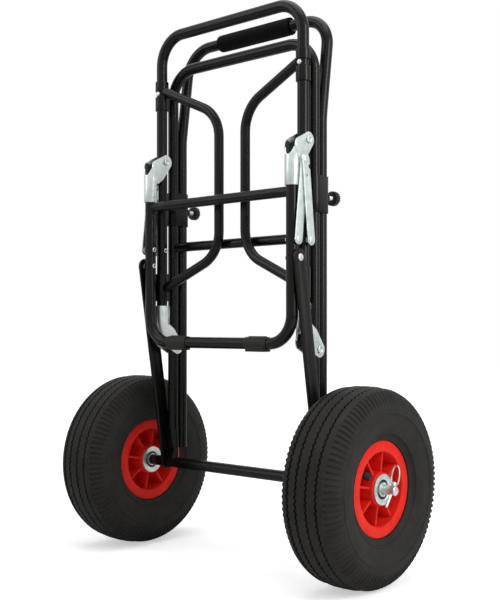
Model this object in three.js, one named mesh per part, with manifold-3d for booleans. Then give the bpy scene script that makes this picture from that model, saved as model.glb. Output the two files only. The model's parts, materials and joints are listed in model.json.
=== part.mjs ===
// A folding two-wheel trolley for fishing tackle, folded up. Millimetres, +Z up, floor at z = 0,
// origin on the floor under the middle of the axle. +X is to the right, the legs face -Y.
import * as THREE from "three";
import { mergeVertices } from "three/addons/utils/BufferGeometryUtils.js";
import Module from "manifold-3d";

const wasm = await Module();
wasm.setup();

// Clearances and facets.
const GAP = 0.3; // between pieces that touch
const OVERRUN = 1; // how far a cutter passes the face it cuts
const WELD = 1e-4; // vertices nearer than this are one
const TUBE_SIDES = 10;
const BORE_SIDES = 6;
const PIN_SIDES = 8;
const WHEEL_SIDES = 24;
const AIR_TUBE_SIDES = 16;
const PAD_SIDES = 12;
const BEND_STEPS = 4;

// Frame tube and the four upright planes of the hoops.
const TUBE_R = 8;
const TUBE_WALL = 1.5;
const FRAME_HALF = 135.5; // from the middle to a leg's centre line
const PLANE_STEP = 23.5; // from one hinged hoop to the next
const REAR_Y = 0;
const DECK_Y = REAR_Y - PLANE_STEP;
const LEG_Y = DECK_Y - PLANE_STEP;

// Wheels and axle.
const TYRE_R = 130;
const TYRE_HALF_WIDTH = 42.5;
const WHEEL_OUT = 78.5; // from a leg's centre line to a wheel's middle
const WHEEL_X = FRAME_HALF + WHEEL_OUT;
const AXLE_Z = TYRE_R;
const AXLE_TUBE_R = 8;
const AXLE_TUBE_WALL = 1.4;
const ROD_R = 6;
const ROD_OUT = 51.5; // from a wheel's middle to the rod's end
const ROD_HALF = WHEEL_X + ROD_OUT;
const ROD_CHAMFER = 1;

// Rim, from the axis outwards, and its hub.
const HUB_R = 22;
const HUB_HALF = 30;
const HUB_BORE_R = 13;
const BEARING_R = 16;
const BEARING_DEPTH = 10;
const BEARING_FLANGE_R = 19.8;
const BEARING_FLANGE = 2;
const RACE_PROUD = 0.5;
const RACE_R = 9.2;
const GROOVE_R = 12.5;
const GROOVE_DEPTH = 2.8;
const WEB_HALF = 3;
const BARREL_INNER_R = 46;
const BARREL_DRAFT = 1.5;
const BEAD_R = 50.8;
const BEAD_HALF = 24;
const RIM_R = 62.2;
const RIM_HALF = 29.7;
const RIM_ROUND = 1.5;
const RIB_COUNT = 8;
const RIB_HALF = 1.5;
const RIB_SET_BACK = 3.5; // of a rib's edge behind the rim's face
const RIB_AZIMUTH = -10; // degrees from +Y towards +Z, of a rib on the right wheel

// Tyre section.
const BEAD_TOE = 12;
const SIDEWALL = 5;
const TREAD_WALL = 8;
const SIDEWALL_R = (RIM_R + TYRE_R) / 2; // where the tyre is widest
const SHOULDER_DROP = 9;
const SHOULDER_R = TYRE_R - SHOULDER_DROP;
const SHOULDER_HALF = 35.5;
const CROWN_DROP = 3; // of the tread's edge below its middle
const CROWN_HALF = 26;
const GROOVE_PLACES = [7.8, 21.5]; // along x from the tyre's middle, one on each side
const GROOVE_HALF = 1.4;
const GROOVE_DEEP = 2.6;

// Inner tube, valve and cap.
const AIR_TUBE_WALL = 2;
const AIR_CLEAR = 0.6; // between the inner tube and the tyre at its shoulders and beads
const AIR_SIDE_CLEAR = 2.8; // the same at the tyre's sides
const VALVE_RIB_SHARE = 3.4; // place of the valve, in steps from one rib to the next
const VALVE_R = 3.6;
const VALVE_BORE_R = 1.2;
const VALVE_ROOT_R = 53.5; // distance of the stem's root from the axle
const VALVE_ROOT_X = 2;
const VALVE_TIP_R = 30;
const VALVE_TIP_X = 26;
const CAP_WALL = 1.3;
const CAP_LENGTH = 9;
const CAP_COVER = 6.5; // of the cap over the stem

// Rear hoop, its crossbar and the tongues on the axle.
const REAR_TOP_Z = 723;
const REAR_BEND = 43;
const REAR_BAR_Z = 457;
const TONGUE_HALF = 9.8;
const TONGUE_Z = 165; // top of the flattened stretch
const TONGUE_BLEND = 26;
const TONGUE_HOLE_Z = 150;
const TONGUE_HOLE_R = 2.8;
const BAR_R = 7; // of both crossbars
const BAR_FLAT_HALF = 5.2; // half depth of a crossbar's pressed end
const BAR_FLAT = 16; // length of the pressed end, from the leg's centre line
const BAR_BLEND = 22;

// Deck hoop and leg hoop with their pivots.
const LOWER_PIVOT_Z = 306;
const UPPER_PIVOT_Z = 583.7;
const PIVOT_TO_END = 10; // from a pivot to the near end of the tube it turns beside
const DECK_TOP_Z = 770;
const DECK_BEND = 42;
const LEG_BOTTOM_Z = 314;
const LEG_BEND = 39;
const LEG_BAR_Z = 514.2;

// Hinge bracket, pressed from sheet. Places are measured from its pivot.
const SHEET = 1.5;
const EAR_R = 10.5;
const EAR_FRONT = 28.2;
const EAR_TOP_FRONT = 2.8; // drop of the top edge at the front
const EAR_CORNER = 5.5;
const EAR_FRONT_LENGTH = 12;
const EAR_REAR_KNEE = new THREE.Vector2(-7, -27);
const EAR_FOOT = new THREE.Vector2(-16.5, -34);
const WRAP_TOP = 22;
const CHANNEL_END = 62;
const FLANGE_Y = -8.5;
const FLANGE_RIVET_Y = -11.7;
const FLANGE_RIVETS = [-39.5, -56.5];
const FLANGE_RIVET_R = 2.6;
const FLANGE_RIVET_HEAD = 1.2;
const PIN_R = 3;
const PIN_HEAD_R = 5;
const PIN_HEAD = 1.8;

// Struts from the axle to the legs.
const STRUT_PIVOT_Z = 427;
const STRUT_HALF = 11.5;
const STRUT_THICK = 3.5;
const STRUT_OUT = 10.6; // of the bar's inner face, from a leg's centre line
const STRUT_X = FRAME_HALF + STRUT_OUT;
const BOSS_R = 5;
const RIVET_R = 2.5;
const RIVET_END_R = 3.5;
const RIVET_END = 1.2;

// Folding stays between deck and legs, each of two links.
const STAY_PIVOT_Z = 451;
const STAY_LINK = 105.7;
const STAY_HALF = 7.3;
const STAY_THICK = 1.8;
const STAY_GAP = 0.4; // between the two links where they cross
const STAY_OUT = 10.2; // of the inner link's face, from a leg's centre line
const STAY_X = FRAME_HALF + STAY_OUT;
const STAY_HEAD = 1.5;
const STAY_NOTCH_Z = 96; // along the deck link, of the notch in its edge
const STAY_NOTCH_R = 3;
const STAY_HOLE_Z = 84.5;
const STAY_HOLE_R = 1.5;

// Side arms that swing on the deck's legs.
const ARM_R = 7;
const ARM_MIDDLE = 25; // from the middle to the bow's upright
const ARM_REACH = FRAME_HALF - ARM_MIDDLE;
const ARM_DROP = 77; // of the bow's upper end below the deck's top bar
const ARM_TOP_Z = DECK_TOP_Z - ARM_DROP;
const ARM_BOTTOM_Z = 391;
const ARM_SLOPE = 24.5; // degrees of the bow's ends from the horizontal
const ARM_BEND = 50;
const SLEEVE_R = 10;
const UPPER_SLEEVE = [-31, 12]; // ends of a sleeve, from the bow's end in it
const LOWER_SLEEVE = [-16, 25];
const STOP_DROP = 6.5;
const STOP_Z = ARM_TOP_Z - STOP_DROP;
const SLOT_HALF = 4.5; // of the cut in the upper sleeve, up and down from the stop
const STOP_R = 2;
const STOP_HEAD_R = 3.5;
const STOP_HEAD = 1.8;
const SLOT_AZIMUTH = 43; // degrees, middle of the cut, which goes half round, from the front outwards

// Handle, its grip and its clamps.
const HANDLE_Y = 17;
const HANDLE_IN = 1; // of the handle's legs inside the rear hoop's
const HANDLE_HALF = FRAME_HALF - HANDLE_IN;
const HANDLE_END_Z = 152;
const HANDLE_KNEE_Z = 620;
const HANDLE_KNEE_BEND = 120;
const HANDLE_TOP_Z = 763;
const HANDLE_TOP_Y = 36;
const HANDLE_BEND = 42;
const GRIP_IN = 68.5; // from a leg's centre line to the grip's end
const GRIP_HALF = HANDLE_HALF - GRIP_IN;
const GRIP_R = 12.5;
const GRIP_ROUND = 4;
const CLAMP_Z = [490, 540];
const KNOB_Z = 513;
const NUT_R = 6.5;
const NUT_THICK = 3;
const STUD_R = 3;
const KNOB_R = 10.3;
const KNOB_Y = 39.7;
const KNOB_THICK = 8.6;
const KNOB_LOBES = 20;
const KNOB_LOBE_DEPTH = 0.8;
const STUD_IN_KNOB = 5;

// Foot pads on the leg hoop's bottom bar.
const PAD_IN = 59.5;
const PAD_X = FRAME_HALF - PAD_IN;
const PAD_HALF = 19.8;
const PAD_R = 11;
const PAD_SOLE_HALF = 8;
const PAD_FIN_HALF = 1;
const PAD_FIN = 4;

// Lynch pins through the ends of the axle rod.
const LYNCH_X = ROD_HALF - 6.2;
const LYNCH_R = 2.1;
const LYNCH_TAIL = 24;
const LYNCH_HEAD_FROM = 7;
const LYNCH_HEAD = 5;
const LYNCH_HEAD_R = 3.2;
const LYNCH_LEAN = 53; // degrees of the pin above the horizontal, head to the back
const RING_HALF = 5.7; // half width of the loop, to the wire's centre
const RING_HIGH = 14; // half height
const RING_WIRE_R = 1;
const RING_STEPS = 12;
const RING_LEAN = 25; // degrees of the ring from the pin's own line
const RING_HOLE_R = 1.5;

const v3 = (x, y, z) => new THREE.Vector3(x, y, z);
const rad = THREE.MathUtils.degToRad;

const paint = { color: 0x242422, roughness: 0.35, metalness: 0.3 };
const zinc = { color: 0xcdd7d0, roughness: 0.35, metalness: 0.9 };
const redPlastic = { color: 0xdc3228, roughness: 0.45, metalness: 0 };
const rubber = { color: 0x35353a, roughness: 0.85, metalness: 0 };
const blackPlastic = { color: 0x161618, roughness: 0.6, metalness: 0 };
const foam = { color: 0x141414, roughness: 0.95, metalness: 0 };

/** A closed geometry as a solid that can be joined and cut. */
function solid(geometry) {
  const plain = geometry.index ? geometry.toNonIndexed() : geometry.clone();
  plain.deleteAttribute("normal");
  plain.deleteAttribute("uv");
  const merged = mergeVertices(plain, WELD);
  return new wasm.Manifold(
    new wasm.Mesh({
      numProp: 3,
      vertProperties: merged.attributes.position.array,
      triVerts: new Uint32Array(merged.index.array),
    }),
  );
}

/** A solid's surface as a geometry. */
function geometryOf(made) {
  const { vertProperties, triVerts } = made.getMesh();
  const geometry = new THREE.BufferGeometry();
  geometry.setAttribute("position", new THREE.BufferAttribute(vertProperties, 3));
  geometry.setIndex(new THREE.BufferAttribute(triVerts, 1));
  geometry.computeVertexNormals();
  return geometry;
}

const joined = (...geometries) => geometryOf(geometries.map(solid).reduce((a, b) => a.add(b)));
const cut = (body, ...cutters) =>
  geometryOf(cutters.map(solid).reduce((a, b) => a.subtract(b), solid(body)));

/** A mesh of one piece, with its own material. */
function piece(name, geometry, look) {
  const mesh = new THREE.Mesh(geometry, new THREE.MeshStandardMaterial(look));
  mesh.name = name;
  return mesh;
}

/** Corners of a circle: on it, or with the flats on it. */
function circlePoints(radius, sides, flatsOnIt) {
  const r = flatsOnIt ? radius / Math.cos(Math.PI / sides) : radius;
  const shift = flatsOnIt ? 0.5 : 0;
  return Array.from({ length: sides }, (_, i) => {
    const a = ((i + shift) * 2 * Math.PI) / sides;
    return new THREE.Vector2(r * Math.cos(a), r * Math.sin(a));
  });
}

/** A round section, hollow where a bore is given. */
function roundShape(radius, sides, boreR, boreSides) {
  const shape = new THREE.Shape(circlePoints(radius, sides, false));
  if (boreR) shape.holes.push(new THREE.Path(circlePoints(boreR, boreSides, true)));
  return shape;
}

/** An extrusion from one point to another; the shape's x and y stay square to the way. */
function prism(shape, from, to) {
  const way = to.clone().sub(from);
  const geometry = new THREE.ExtrudeGeometry(shape, {
    depth: way.length(),
    bevelEnabled: false,
    curveSegments: BEND_STEPS,
  });
  geometry.applyQuaternion(
    new THREE.Quaternion().setFromUnitVectors(v3(0, 0, 1), way.normalize()),
  );
  return geometry.translate(from.x, from.y, from.z);
}

const rod = (radius, from, to, sides = PIN_SIDES) => prism(roundShape(radius, sides), from, to);

/** A hole cutter, its flats on the radius. */
const drill = (radius, from, to, sides = PIN_SIDES) =>
  prism(new THREE.Shape(circlePoints(radius, sides, true)), from, to);

/** A plate whose outline is drawn in y and z, between two values of x. */
function plate(shape, fromX, toX) {
  const geometry = new THREE.ExtrudeGeometry(shape, {
    depth: toX - fromX,
    bevelEnabled: false,
    curveSegments: BEND_STEPS,
  });
  geometry.applyMatrix4(new THREE.Matrix4().makeBasis(v3(0, 1, 0), v3(0, 0, 1), v3(1, 0, 0)));
  return geometry.translate(fromX, 0, 0);
}

/** A box between two corners. */
function block(low, high) {
  const size = high.clone().sub(low);
  const middle = low.clone().add(high).multiplyScalar(0.5);
  return new THREE.BoxGeometry(size.x, size.y, size.z).translate(middle.x, middle.y, middle.z);
}

/** A body turned about the x axis; each point is a radius and a place along x. */
function turned(points, sides) {
  const outline = points.map(([r, x]) => new THREE.Vector2(r, x));
  const closed = points[0][0] > 0 ? [...outline, outline[0].clone()] : outline;
  return new THREE.LatheGeometry(closed, sides).rotateZ(-Math.PI / 2);
}

/** Straight stretches joined by arcs. Its even steps are the ends of those stretches and arcs. */
class BentPath extends THREE.Curve {
  constructor(corners, radii) {
    super();
    this.stops = [corners[0]];
    this.ways = [corners[1].clone().sub(corners[0]).normalize()];
    for (let i = 1; i < corners.length - 1; i++) this.addBend(corners, i, radii[i - 1]);
    this.stops.push(corners.at(-1));
    this.ways.push(this.ways.at(-1).clone());
  }

  addBend(corners, i, radius) {
    const before = corners[i].clone().sub(corners[i - 1]).normalize();
    const after = corners[i + 1].clone().sub(corners[i]).normalize();
    const angle = before.angleTo(after);
    if (!radius) {
      this.stops.push(corners[i]);
      this.ways.push(before);
      return;
    }
    const start = corners[i].clone().addScaledVector(before, -radius * Math.tan(angle / 2));
    const axis = before.clone().cross(after).normalize();
    const inward = axis.clone().cross(before);
    const centre = start.clone().addScaledVector(inward, radius);
    const steps = Math.max(2, Math.round((BEND_STEPS * angle) / (Math.PI / 2)));
    for (let k = 0; k <= steps; k++) {
      const turn = (angle * k) / steps;
      this.stops.push(start.clone().sub(centre).applyAxisAngle(axis, turn).add(centre));
      this.ways.push(before.clone().applyAxisAngle(axis, turn));
    }
  }

  getPointAt(u, target = new THREE.Vector3()) {
    return target.copy(this.stops[Math.round(u * (this.stops.length - 1))]);
  }

  getTangentAt(u, target = new THREE.Vector3()) {
    return target.copy(this.ways[Math.round(u * (this.stops.length - 1))]);
  }
}

/** A round tube bent along corners; a radius of zero marks a plain stop. */
function bentTube(corners, radii, outerR = TUBE_R, wall = TUBE_WALL) {
  const extrudePath = new BentPath(corners, radii);
  const section = roundShape(outerR, TUBE_SIDES, outerR - wall, BORE_SIDES);
  return new THREE.ExtrudeGeometry(section, {
    steps: extrudePath.stops.length - 1,
    extrudePath,
    bevelEnabled: false,
  });
}

/** Moves each vertex of a geometry by a rule. */
function reshape(geometry, rule) {
  const at = geometry.attributes.position;
  const v = new THREE.Vector3();
  for (let i = 0; i < at.count; i++) {
    rule(v.fromBufferAttribute(at, i));
    at.setXYZ(i, v.x, v.y, v.z);
  }
  return geometry;
}

const sides = [
  { tag: "l", sign: -1 },
  { tag: "r", sign: 1 },
];

/** A drill across both legs of a hoop, at one place. */
const acrossLegs = (radius, y, z) =>
  sides.map(({ sign }) => {
    const reach = TUBE_R + OVERRUN;
    return drill(radius, v3(sign * FRAME_HALF - reach, y, z), v3(sign * FRAME_HALF + reach, y, z));
  });

/** Rear hoop: legs pressed flat into tongues that are welded on the axle tube. */
function rearHoop() {
  const stops = [AXLE_Z, TONGUE_Z, TONGUE_Z + TONGUE_BLEND / 2, TONGUE_Z + TONGUE_BLEND];
  const left = stops.map((z) => v3(-FRAME_HALF, REAR_Y, z));
  const right = stops.map((z) => v3(FRAME_HALF, REAR_Y, z)).reverse();
  const corners = [
    ...left,
    v3(-FRAME_HALF, REAR_Y, REAR_TOP_Z),
    v3(FRAME_HALF, REAR_Y, REAR_TOP_Z),
    ...right,
  ];
  const hoop = bentTube(corners, [0, 0, 0, REAR_BEND, REAR_BEND, 0, 0, 0]);
  const widen = TONGUE_HALF / TUBE_R;
  const flatten = 2 - widen;
  reshape(hoop, (v) => {
    const share = 1 - THREE.MathUtils.smoothstep(v.z, TONGUE_Z, TONGUE_Z + TONGUE_BLEND);
    const legX = Math.sign(v.x) * FRAME_HALF;
    v.x = legX + (v.x - legX) * (1 + (widen - 1) * share);
    v.y = REAR_Y + (v.y - REAR_Y) * (1 + (flatten - 1) * share);
  });
  const holes = sides.map(({ sign }) => {
    const reach = TUBE_R + OVERRUN;
    return drill(
      TONGUE_HOLE_R,
      v3(sign * FRAME_HALF, REAR_Y - reach, TONGUE_HOLE_Z),
      v3(sign * FRAME_HALF, REAR_Y + reach, TONGUE_HOLE_Z),
    );
  });
  const seat = drill(
    AXLE_TUBE_R + GAP,
    v3(-ROD_HALF, REAR_Y, AXLE_Z),
    v3(ROD_HALF, REAR_Y, AXLE_Z),
    TUBE_SIDES,
  );
  return cut(hoop, seat, ...holes, ...acrossLegs(PIN_R + GAP, REAR_Y, LOWER_PIVOT_Z));
}

/** A crossbar between two legs, its ends pressed flat and shaped to the legs. */
function crossbar(y, z) {
  const stops = [FRAME_HALF, FRAME_HALF - BAR_FLAT, FRAME_HALF - BAR_FLAT - BAR_BLEND];
  const corners = [
    ...stops.map((x) => v3(-x, y, z)),
    ...stops.map((x) => v3(x, y, z)).reverse(),
  ];
  const bar = bentTube(corners, [0, 0, 0, 0], BAR_R);
  const flatten = BAR_FLAT_HALF / BAR_R;
  reshape(bar, (v) => {
    const inner = FRAME_HALF - BAR_FLAT - BAR_BLEND;
    const share = THREE.MathUtils.smoothstep(Math.abs(v.x), inner, inner + BAR_BLEND);
    v.y = y + (v.y - y) * (1 + (flatten - 1) * share);
  });
  const legs = sides.map(({ sign }) => {
    const low = v3(sign * FRAME_HALF, y, z - BAR_R - OVERRUN);
    const high = v3(sign * FRAME_HALF, y, z + BAR_R + OVERRUN);
    return drill(TUBE_R + GAP, low, high, TUBE_SIDES);
  });
  return cut(bar, ...legs, ...endTrims(y, z));
}

/** Blocks that take off what a crossbar has beyond the middle of each leg. */
function endTrims(y, z) {
  const reach = BAR_R + OVERRUN;
  return sides.map(({ sign }) => {
    const near = FRAME_HALF - OVERRUN;
    const far = FRAME_HALF + TUBE_R;
    const low = v3(Math.min(sign * near, sign * far), y - reach, z - reach);
    const high = v3(Math.max(sign * near, sign * far), y + reach, z + reach);
    return block(low, high);
  });
}

const BEARING_FACE = HUB_HALF + GAP + BEARING_FLANGE + RACE_PROUD; // from the wheel's mid-plane
const AXLE_TUBE_HALF = WHEEL_X - BEARING_FACE - GAP;

function axleTube() {
  const section = roundShape(AXLE_TUBE_R, TUBE_SIDES, AXLE_TUBE_R - AXLE_TUBE_WALL, PIN_SIDES);
  return prism(section, v3(-AXLE_TUBE_HALF, REAR_Y, AXLE_Z), v3(AXLE_TUBE_HALF, REAR_Y, AXLE_Z));
}

/** Direction from the tail of a lynch pin to its head. */
const lynchWay = v3(0, Math.cos(rad(LYNCH_LEAN)), Math.sin(rad(LYNCH_LEAN)));

function axleRod() {
  const shoulder = ROD_HALF - ROD_CHAMFER;
  const bar = turned(
    [
      [0, -ROD_HALF],
      [ROD_R - ROD_CHAMFER, -ROD_HALF],
      [ROD_R, -shoulder],
      [ROD_R, shoulder],
      [ROD_R - ROD_CHAMFER, ROD_HALF],
      [0, ROD_HALF],
    ],
    TUBE_SIDES,
  ).translate(0, REAR_Y, AXLE_Z);
  const holes = sides.map(({ sign }) => {
    const way = lynchWay.clone().multiply(v3(1, sign, 1)).multiplyScalar(ROD_R + OVERRUN);
    const middle = v3(sign * LYNCH_X, REAR_Y, AXLE_Z);
    return drill(LYNCH_R + GAP, middle.clone().sub(way), middle.clone().add(way));
  });
  return cut(bar, ...holes);
}

/** Outline round two equal circles. */
function loopRound(first, second, radius) {
  const along = second.clone().sub(first).angle();
  const half = TUBE_SIDES / 2;
  const points = [];
  [
    [second, along - Math.PI / 2],
    [first, along + Math.PI / 2],
  ].forEach(([centre, start]) => {
    for (let i = 0; i < half; i++) {
      const a = start + ((i + 0.5) * Math.PI) / half;
      const r = radius / Math.cos(Math.PI / (2 * half));
      points.push(new THREE.Vector2(centre.x + r * Math.cos(a), centre.y + r * Math.sin(a)));
    }
  });
  return points;
}

/** Sheet strap round a leg of the rear hoop and a leg of the handle, with a welded nut. */
function handleClamp(sign) {
  const hoopLeg = new THREE.Vector2(sign * FRAME_HALF, REAR_Y);
  const handleLeg = new THREE.Vector2(sign * HANDLE_HALF, HANDLE_Y);
  const shape = new THREE.Shape(loopRound(hoopLeg, handleLeg, TUBE_R + GAP + SHEET));
  shape.holes.push(new THREE.Path(loopRound(hoopLeg, handleLeg, TUBE_R + GAP)));
  const strap = prism(shape, v3(0, 0, CLAMP_Z[0]), v3(0, 0, CLAMP_Z[1]));
  const x = sign * HANDLE_HALF;
  const wallY = HANDLE_Y + TUBE_R + GAP;
  const nut = rod(NUT_R, v3(x, wallY + SHEET / 2, KNOB_Z), v3(x, wallY + SHEET + NUT_THICK, KNOB_Z));
  const bore = drill(
    STUD_R + GAP,
    v3(x, wallY - OVERRUN, KNOB_Z),
    v3(x, wallY + SHEET + NUT_THICK + OVERRUN, KNOB_Z),
  );
  return cut(joined(strap, nut), bore);
}

/** Stud that presses on the handle's leg, screwed through the clamp's nut. */
function clampStud(sign) {
  const x = sign * HANDLE_HALF;
  const tip = HANDLE_Y + TUBE_R + GAP;
  return rod(STUD_R, v3(x, tip, KNOB_Z), v3(x, KNOB_Y + STUD_IN_KNOB, KNOB_Z));
}

/** Knob with a fluted edge, blind bored for the stud. */
function clampKnob(sign) {
  const x = sign * HANDLE_HALF;
  const count = 2 * KNOB_LOBES;
  const outline = Array.from({ length: count }, (_, i) => {
    const a = (i * 2 * Math.PI) / count;
    const r = KNOB_R - (i % 2) * KNOB_LOBE_DEPTH;
    return new THREE.Vector2(r * Math.cos(a), r * Math.sin(a));
  });
  const knob = prism(
    new THREE.Shape(outline),
    v3(x, KNOB_Y, KNOB_Z),
    v3(x, KNOB_Y + KNOB_THICK, KNOB_Z),
  );
  const bore = drill(
    STUD_R + GAP,
    v3(x, KNOB_Y - OVERRUN, KNOB_Z),
    v3(x, KNOB_Y + STUD_IN_KNOB + GAP, KNOB_Z),
  );
  return cut(knob, bore);
}

/** Handle: straight legs in the clamps, leaning back above a knee to the grip. */
function handleHoop() {
  const half = (sign) => [
    v3(sign * HANDLE_HALF, HANDLE_Y, HANDLE_END_Z),
    v3(sign * HANDLE_HALF, HANDLE_Y, HANDLE_KNEE_Z),
    v3(sign * HANDLE_HALF, HANDLE_TOP_Y, HANDLE_TOP_Z),
  ];
  const corners = [...half(-1), ...half(1).reverse()];
  return bentTube(corners, [HANDLE_KNEE_BEND, HANDLE_BEND, HANDLE_BEND, HANDLE_KNEE_BEND]);
}

/** Foam sleeve on the handle's top bar. */
function foamGrip() {
  const inner = (TUBE_R + GAP) / Math.cos(Math.PI / TUBE_SIDES);
  const shoulder = GRIP_HALF - GRIP_ROUND;
  return turned(
    [
      [inner, -GRIP_HALF],
      [GRIP_R - GRIP_ROUND, -GRIP_HALF],
      [GRIP_R, -shoulder],
      [GRIP_R, shoulder],
      [GRIP_R - GRIP_ROUND, GRIP_HALF],
      [inner, GRIP_HALF],
    ],
    TUBE_SIDES,
  ).translate(0, HANDLE_TOP_Y, HANDLE_TOP_Z);
}

/** Deck hoop, open at the bottom, bored for the upper hinge pins, the stays and the arm stops. */
function deckHoop() {
  const corners = [
    v3(-FRAME_HALF, DECK_Y, LOWER_PIVOT_Z + PIVOT_TO_END),
    v3(-FRAME_HALF, DECK_Y, DECK_TOP_Z),
    v3(FRAME_HALF, DECK_Y, DECK_TOP_Z),
    v3(FRAME_HALF, DECK_Y, LOWER_PIVOT_Z + PIVOT_TO_END),
  ];
  const stops = sides.map(({ sign }) => {
    const x = sign * FRAME_HALF;
    return drill(STOP_R + GAP, v3(x, DECK_Y - TUBE_R - OVERRUN, STOP_Z), v3(x, DECK_Y, STOP_Z));
  });
  return cut(
    bentTube(corners, [DECK_BEND, DECK_BEND]),
    ...acrossLegs(PIN_R + GAP, DECK_Y, UPPER_PIVOT_Z),
    ...acrossLegs(RIVET_R + GAP, DECK_Y, STAY_PIVOT_Z),
    ...stops,
  );
}

/** Leg hoop, open at the top, bored for the stays and the struts. */
function legHoop() {
  const corners = [
    v3(-FRAME_HALF, LEG_Y, UPPER_PIVOT_Z - PIVOT_TO_END),
    v3(-FRAME_HALF, LEG_Y, LEG_BOTTOM_Z),
    v3(FRAME_HALF, LEG_Y, LEG_BOTTOM_Z),
    v3(FRAME_HALF, LEG_Y, UPPER_PIVOT_Z - PIVOT_TO_END),
  ];
  return cut(
    bentTube(corners, [LEG_BEND, LEG_BEND]),
    ...acrossLegs(RIVET_R + GAP, LEG_Y, STAY_PIVOT_Z),
    ...acrossLegs(RIVET_R + GAP, LEG_Y, STRUT_PIVOT_Z),
  );
}

/** Outline of a hinge bracket's ear in y and z, round its pivot. */
function earShape() {
  const topEdge = new THREE.Vector2(-EAR_FRONT, -EAR_TOP_FRONT);
  const slope = Math.atan2(EAR_R + EAR_TOP_FRONT, EAR_FRONT);
  const crest = Math.PI / 2 + slope / 2;
  const shape = new THREE.Shape();
  shape.absarc(0, 0, EAR_R, -Math.PI / 6, crest, false);
  shape.lineTo(topEdge.x + EAR_CORNER, topEdge.y + EAR_CORNER * Math.tan(slope));
  shape.quadraticCurveTo(topEdge.x, topEdge.y, topEdge.x, topEdge.y - EAR_CORNER);
  shape.lineTo(-EAR_FRONT, -EAR_FRONT_LENGTH);
  shape.lineTo(-PLANE_STEP, EAR_FOOT.y);
  shape.lineTo(EAR_FOOT.x, EAR_FOOT.y);
  shape.lineTo(EAR_REAR_KNEE.x, EAR_REAR_KNEE.y);
  shape.closePath();
  return shape;
}

/** A bracket of sheet: two ears at the pivot, wrapped round the tube in front and pinched behind it. */
function hingeBracket() {
  const inner = TUBE_R + GAP;
  const outer = inner + SHEET;
  const ring = new THREE.Shape(circlePoints(outer, TUBE_SIDES, true));
  ring.holes.push(new THREE.Path(circlePoints(inner, TUBE_SIDES, true)));
  const wrap = prism(ring, v3(0, -PLANE_STEP, -CHANNEL_END), v3(0, -PLANE_STEP, -EAR_FRONT_LENGTH));
  const behind = block(
    v3(-outer - OVERRUN, -PLANE_STEP, EAR_FOOT.y),
    v3(outer + OVERRUN, outer, OVERRUN),
  );
  const mouth = new THREE.Shape([
    new THREE.Vector2(-EAR_FRONT, EAR_R),
    new THREE.Vector2(-PLANE_STEP - outer - OVERRUN, EAR_R),
    new THREE.Vector2(-PLANE_STEP - outer - OVERRUN, -WRAP_TOP),
    new THREE.Vector2(-PLANE_STEP - inner, -WRAP_TOP),
    new THREE.Vector2(-EAR_FRONT, -EAR_FRONT_LENGTH),
  ]);
  const sleeve = cut(wrap, behind, plate(mouth, -outer - OVERRUN, outer + OVERRUN));
  const flange = block(
    v3(-SHEET, -PLANE_STEP + inner + SHEET / 2, -CHANNEL_END),
    v3(SHEET, FLANGE_Y, EAR_FOOT.y),
  );
  const ears = sides.map(({ sign }) =>
    plate(earShape(), Math.min(sign * inner, sign * outer), Math.max(sign * inner, sign * outer)),
  );
  const rivets = FLANGE_RIVETS.map((z) => {
    const reach = SHEET + FLANGE_RIVET_HEAD;
    return rod(FLANGE_RIVET_R, v3(-reach, FLANGE_RIVET_Y, z), v3(reach, FLANGE_RIVET_Y, z));
  });
  const bore = drill(PIN_R + GAP, v3(-outer - OVERRUN, 0, 0), v3(outer + OVERRUN, 0, 0));
  return cut(joined(sleeve, flange, ...ears, ...rivets), bore);
}

/** Rivet through a bracket's ears and the tube between them, a head on each side. */
function hingePin() {
  const seat = TUBE_R + GAP + SHEET + GAP;
  const heads = sides.map(({ sign }) =>
    rod(PIN_HEAD_R, v3(sign * seat, 0, 0), v3(sign * (seat + PIN_HEAD), 0, 0)),
  );
  const shank = rod(PIN_R, v3(-seat - PIN_HEAD / 2, 0, 0), v3(seat + PIN_HEAD / 2, 0, 0));
  return joined(shank, ...heads);
}

/** Rivet from inside a leg, out through it and a washer to a face at the given x. */
function legRivet(faceX) {
  const inside = FRAME_HALF - TUBE_R - GAP;
  const outside = FRAME_HALF + TUBE_R + GAP;
  const end = rod(RIVET_END_R, v3(inside - RIVET_END, 0, 0), v3(inside, 0, 0));
  const shank = rod(RIVET_R, v3(inside - RIVET_END / 2, 0, 0), v3(faceX - GAP, 0, 0));
  const washer = rod(BOSS_R, v3(outside, 0, 0), v3(faceX, 0, 0));
  return joined(end, shank, washer);
}

/** A flat bar with round ends from the origin up to a length. */
function linkShape(length, half) {
  const shape = new THREE.Shape();
  shape.absarc(0, 0, half, Math.PI, 2 * Math.PI, false);
  shape.absarc(0, length, half, 0, Math.PI, false);
  return shape;
}

const strutRun = new THREE.Vector2(LEG_Y - REAR_Y, STRUT_PIVOT_Z - AXLE_Z);

const STRUT_FACE = STRUT_X + STRUT_THICK;

/** Strut: a flat bar with an eye round the axle tube and a hole for its rivet. */
function strut() {
  const bar = plate(linkShape(strutRun.length(), STRUT_HALF), STRUT_X, STRUT_FACE);
  const across = (z, radius, facets) =>
    drill(radius, v3(STRUT_X - OVERRUN, 0, z), v3(STRUT_FACE + OVERRUN, 0, z), facets);
  const eye = across(0, AXLE_TUBE_R + GAP, TUBE_SIDES);
  return cut(bar, eye, across(strutRun.length(), RIVET_R + GAP, PIN_SIDES));
}

/** Rivet through the top of a strut, with its head outside. */
function strutRivet() {
  const length = strutRun.length();
  const seat = STRUT_FACE + GAP;
  const shank = rod(RIVET_R, v3(STRUT_X, 0, length), v3(seat + PIN_HEAD / 2, 0, length));
  return joined(shank, rod(BOSS_R, v3(seat, 0, length), v3(seat + PIN_HEAD, 0, length)));
}

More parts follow.
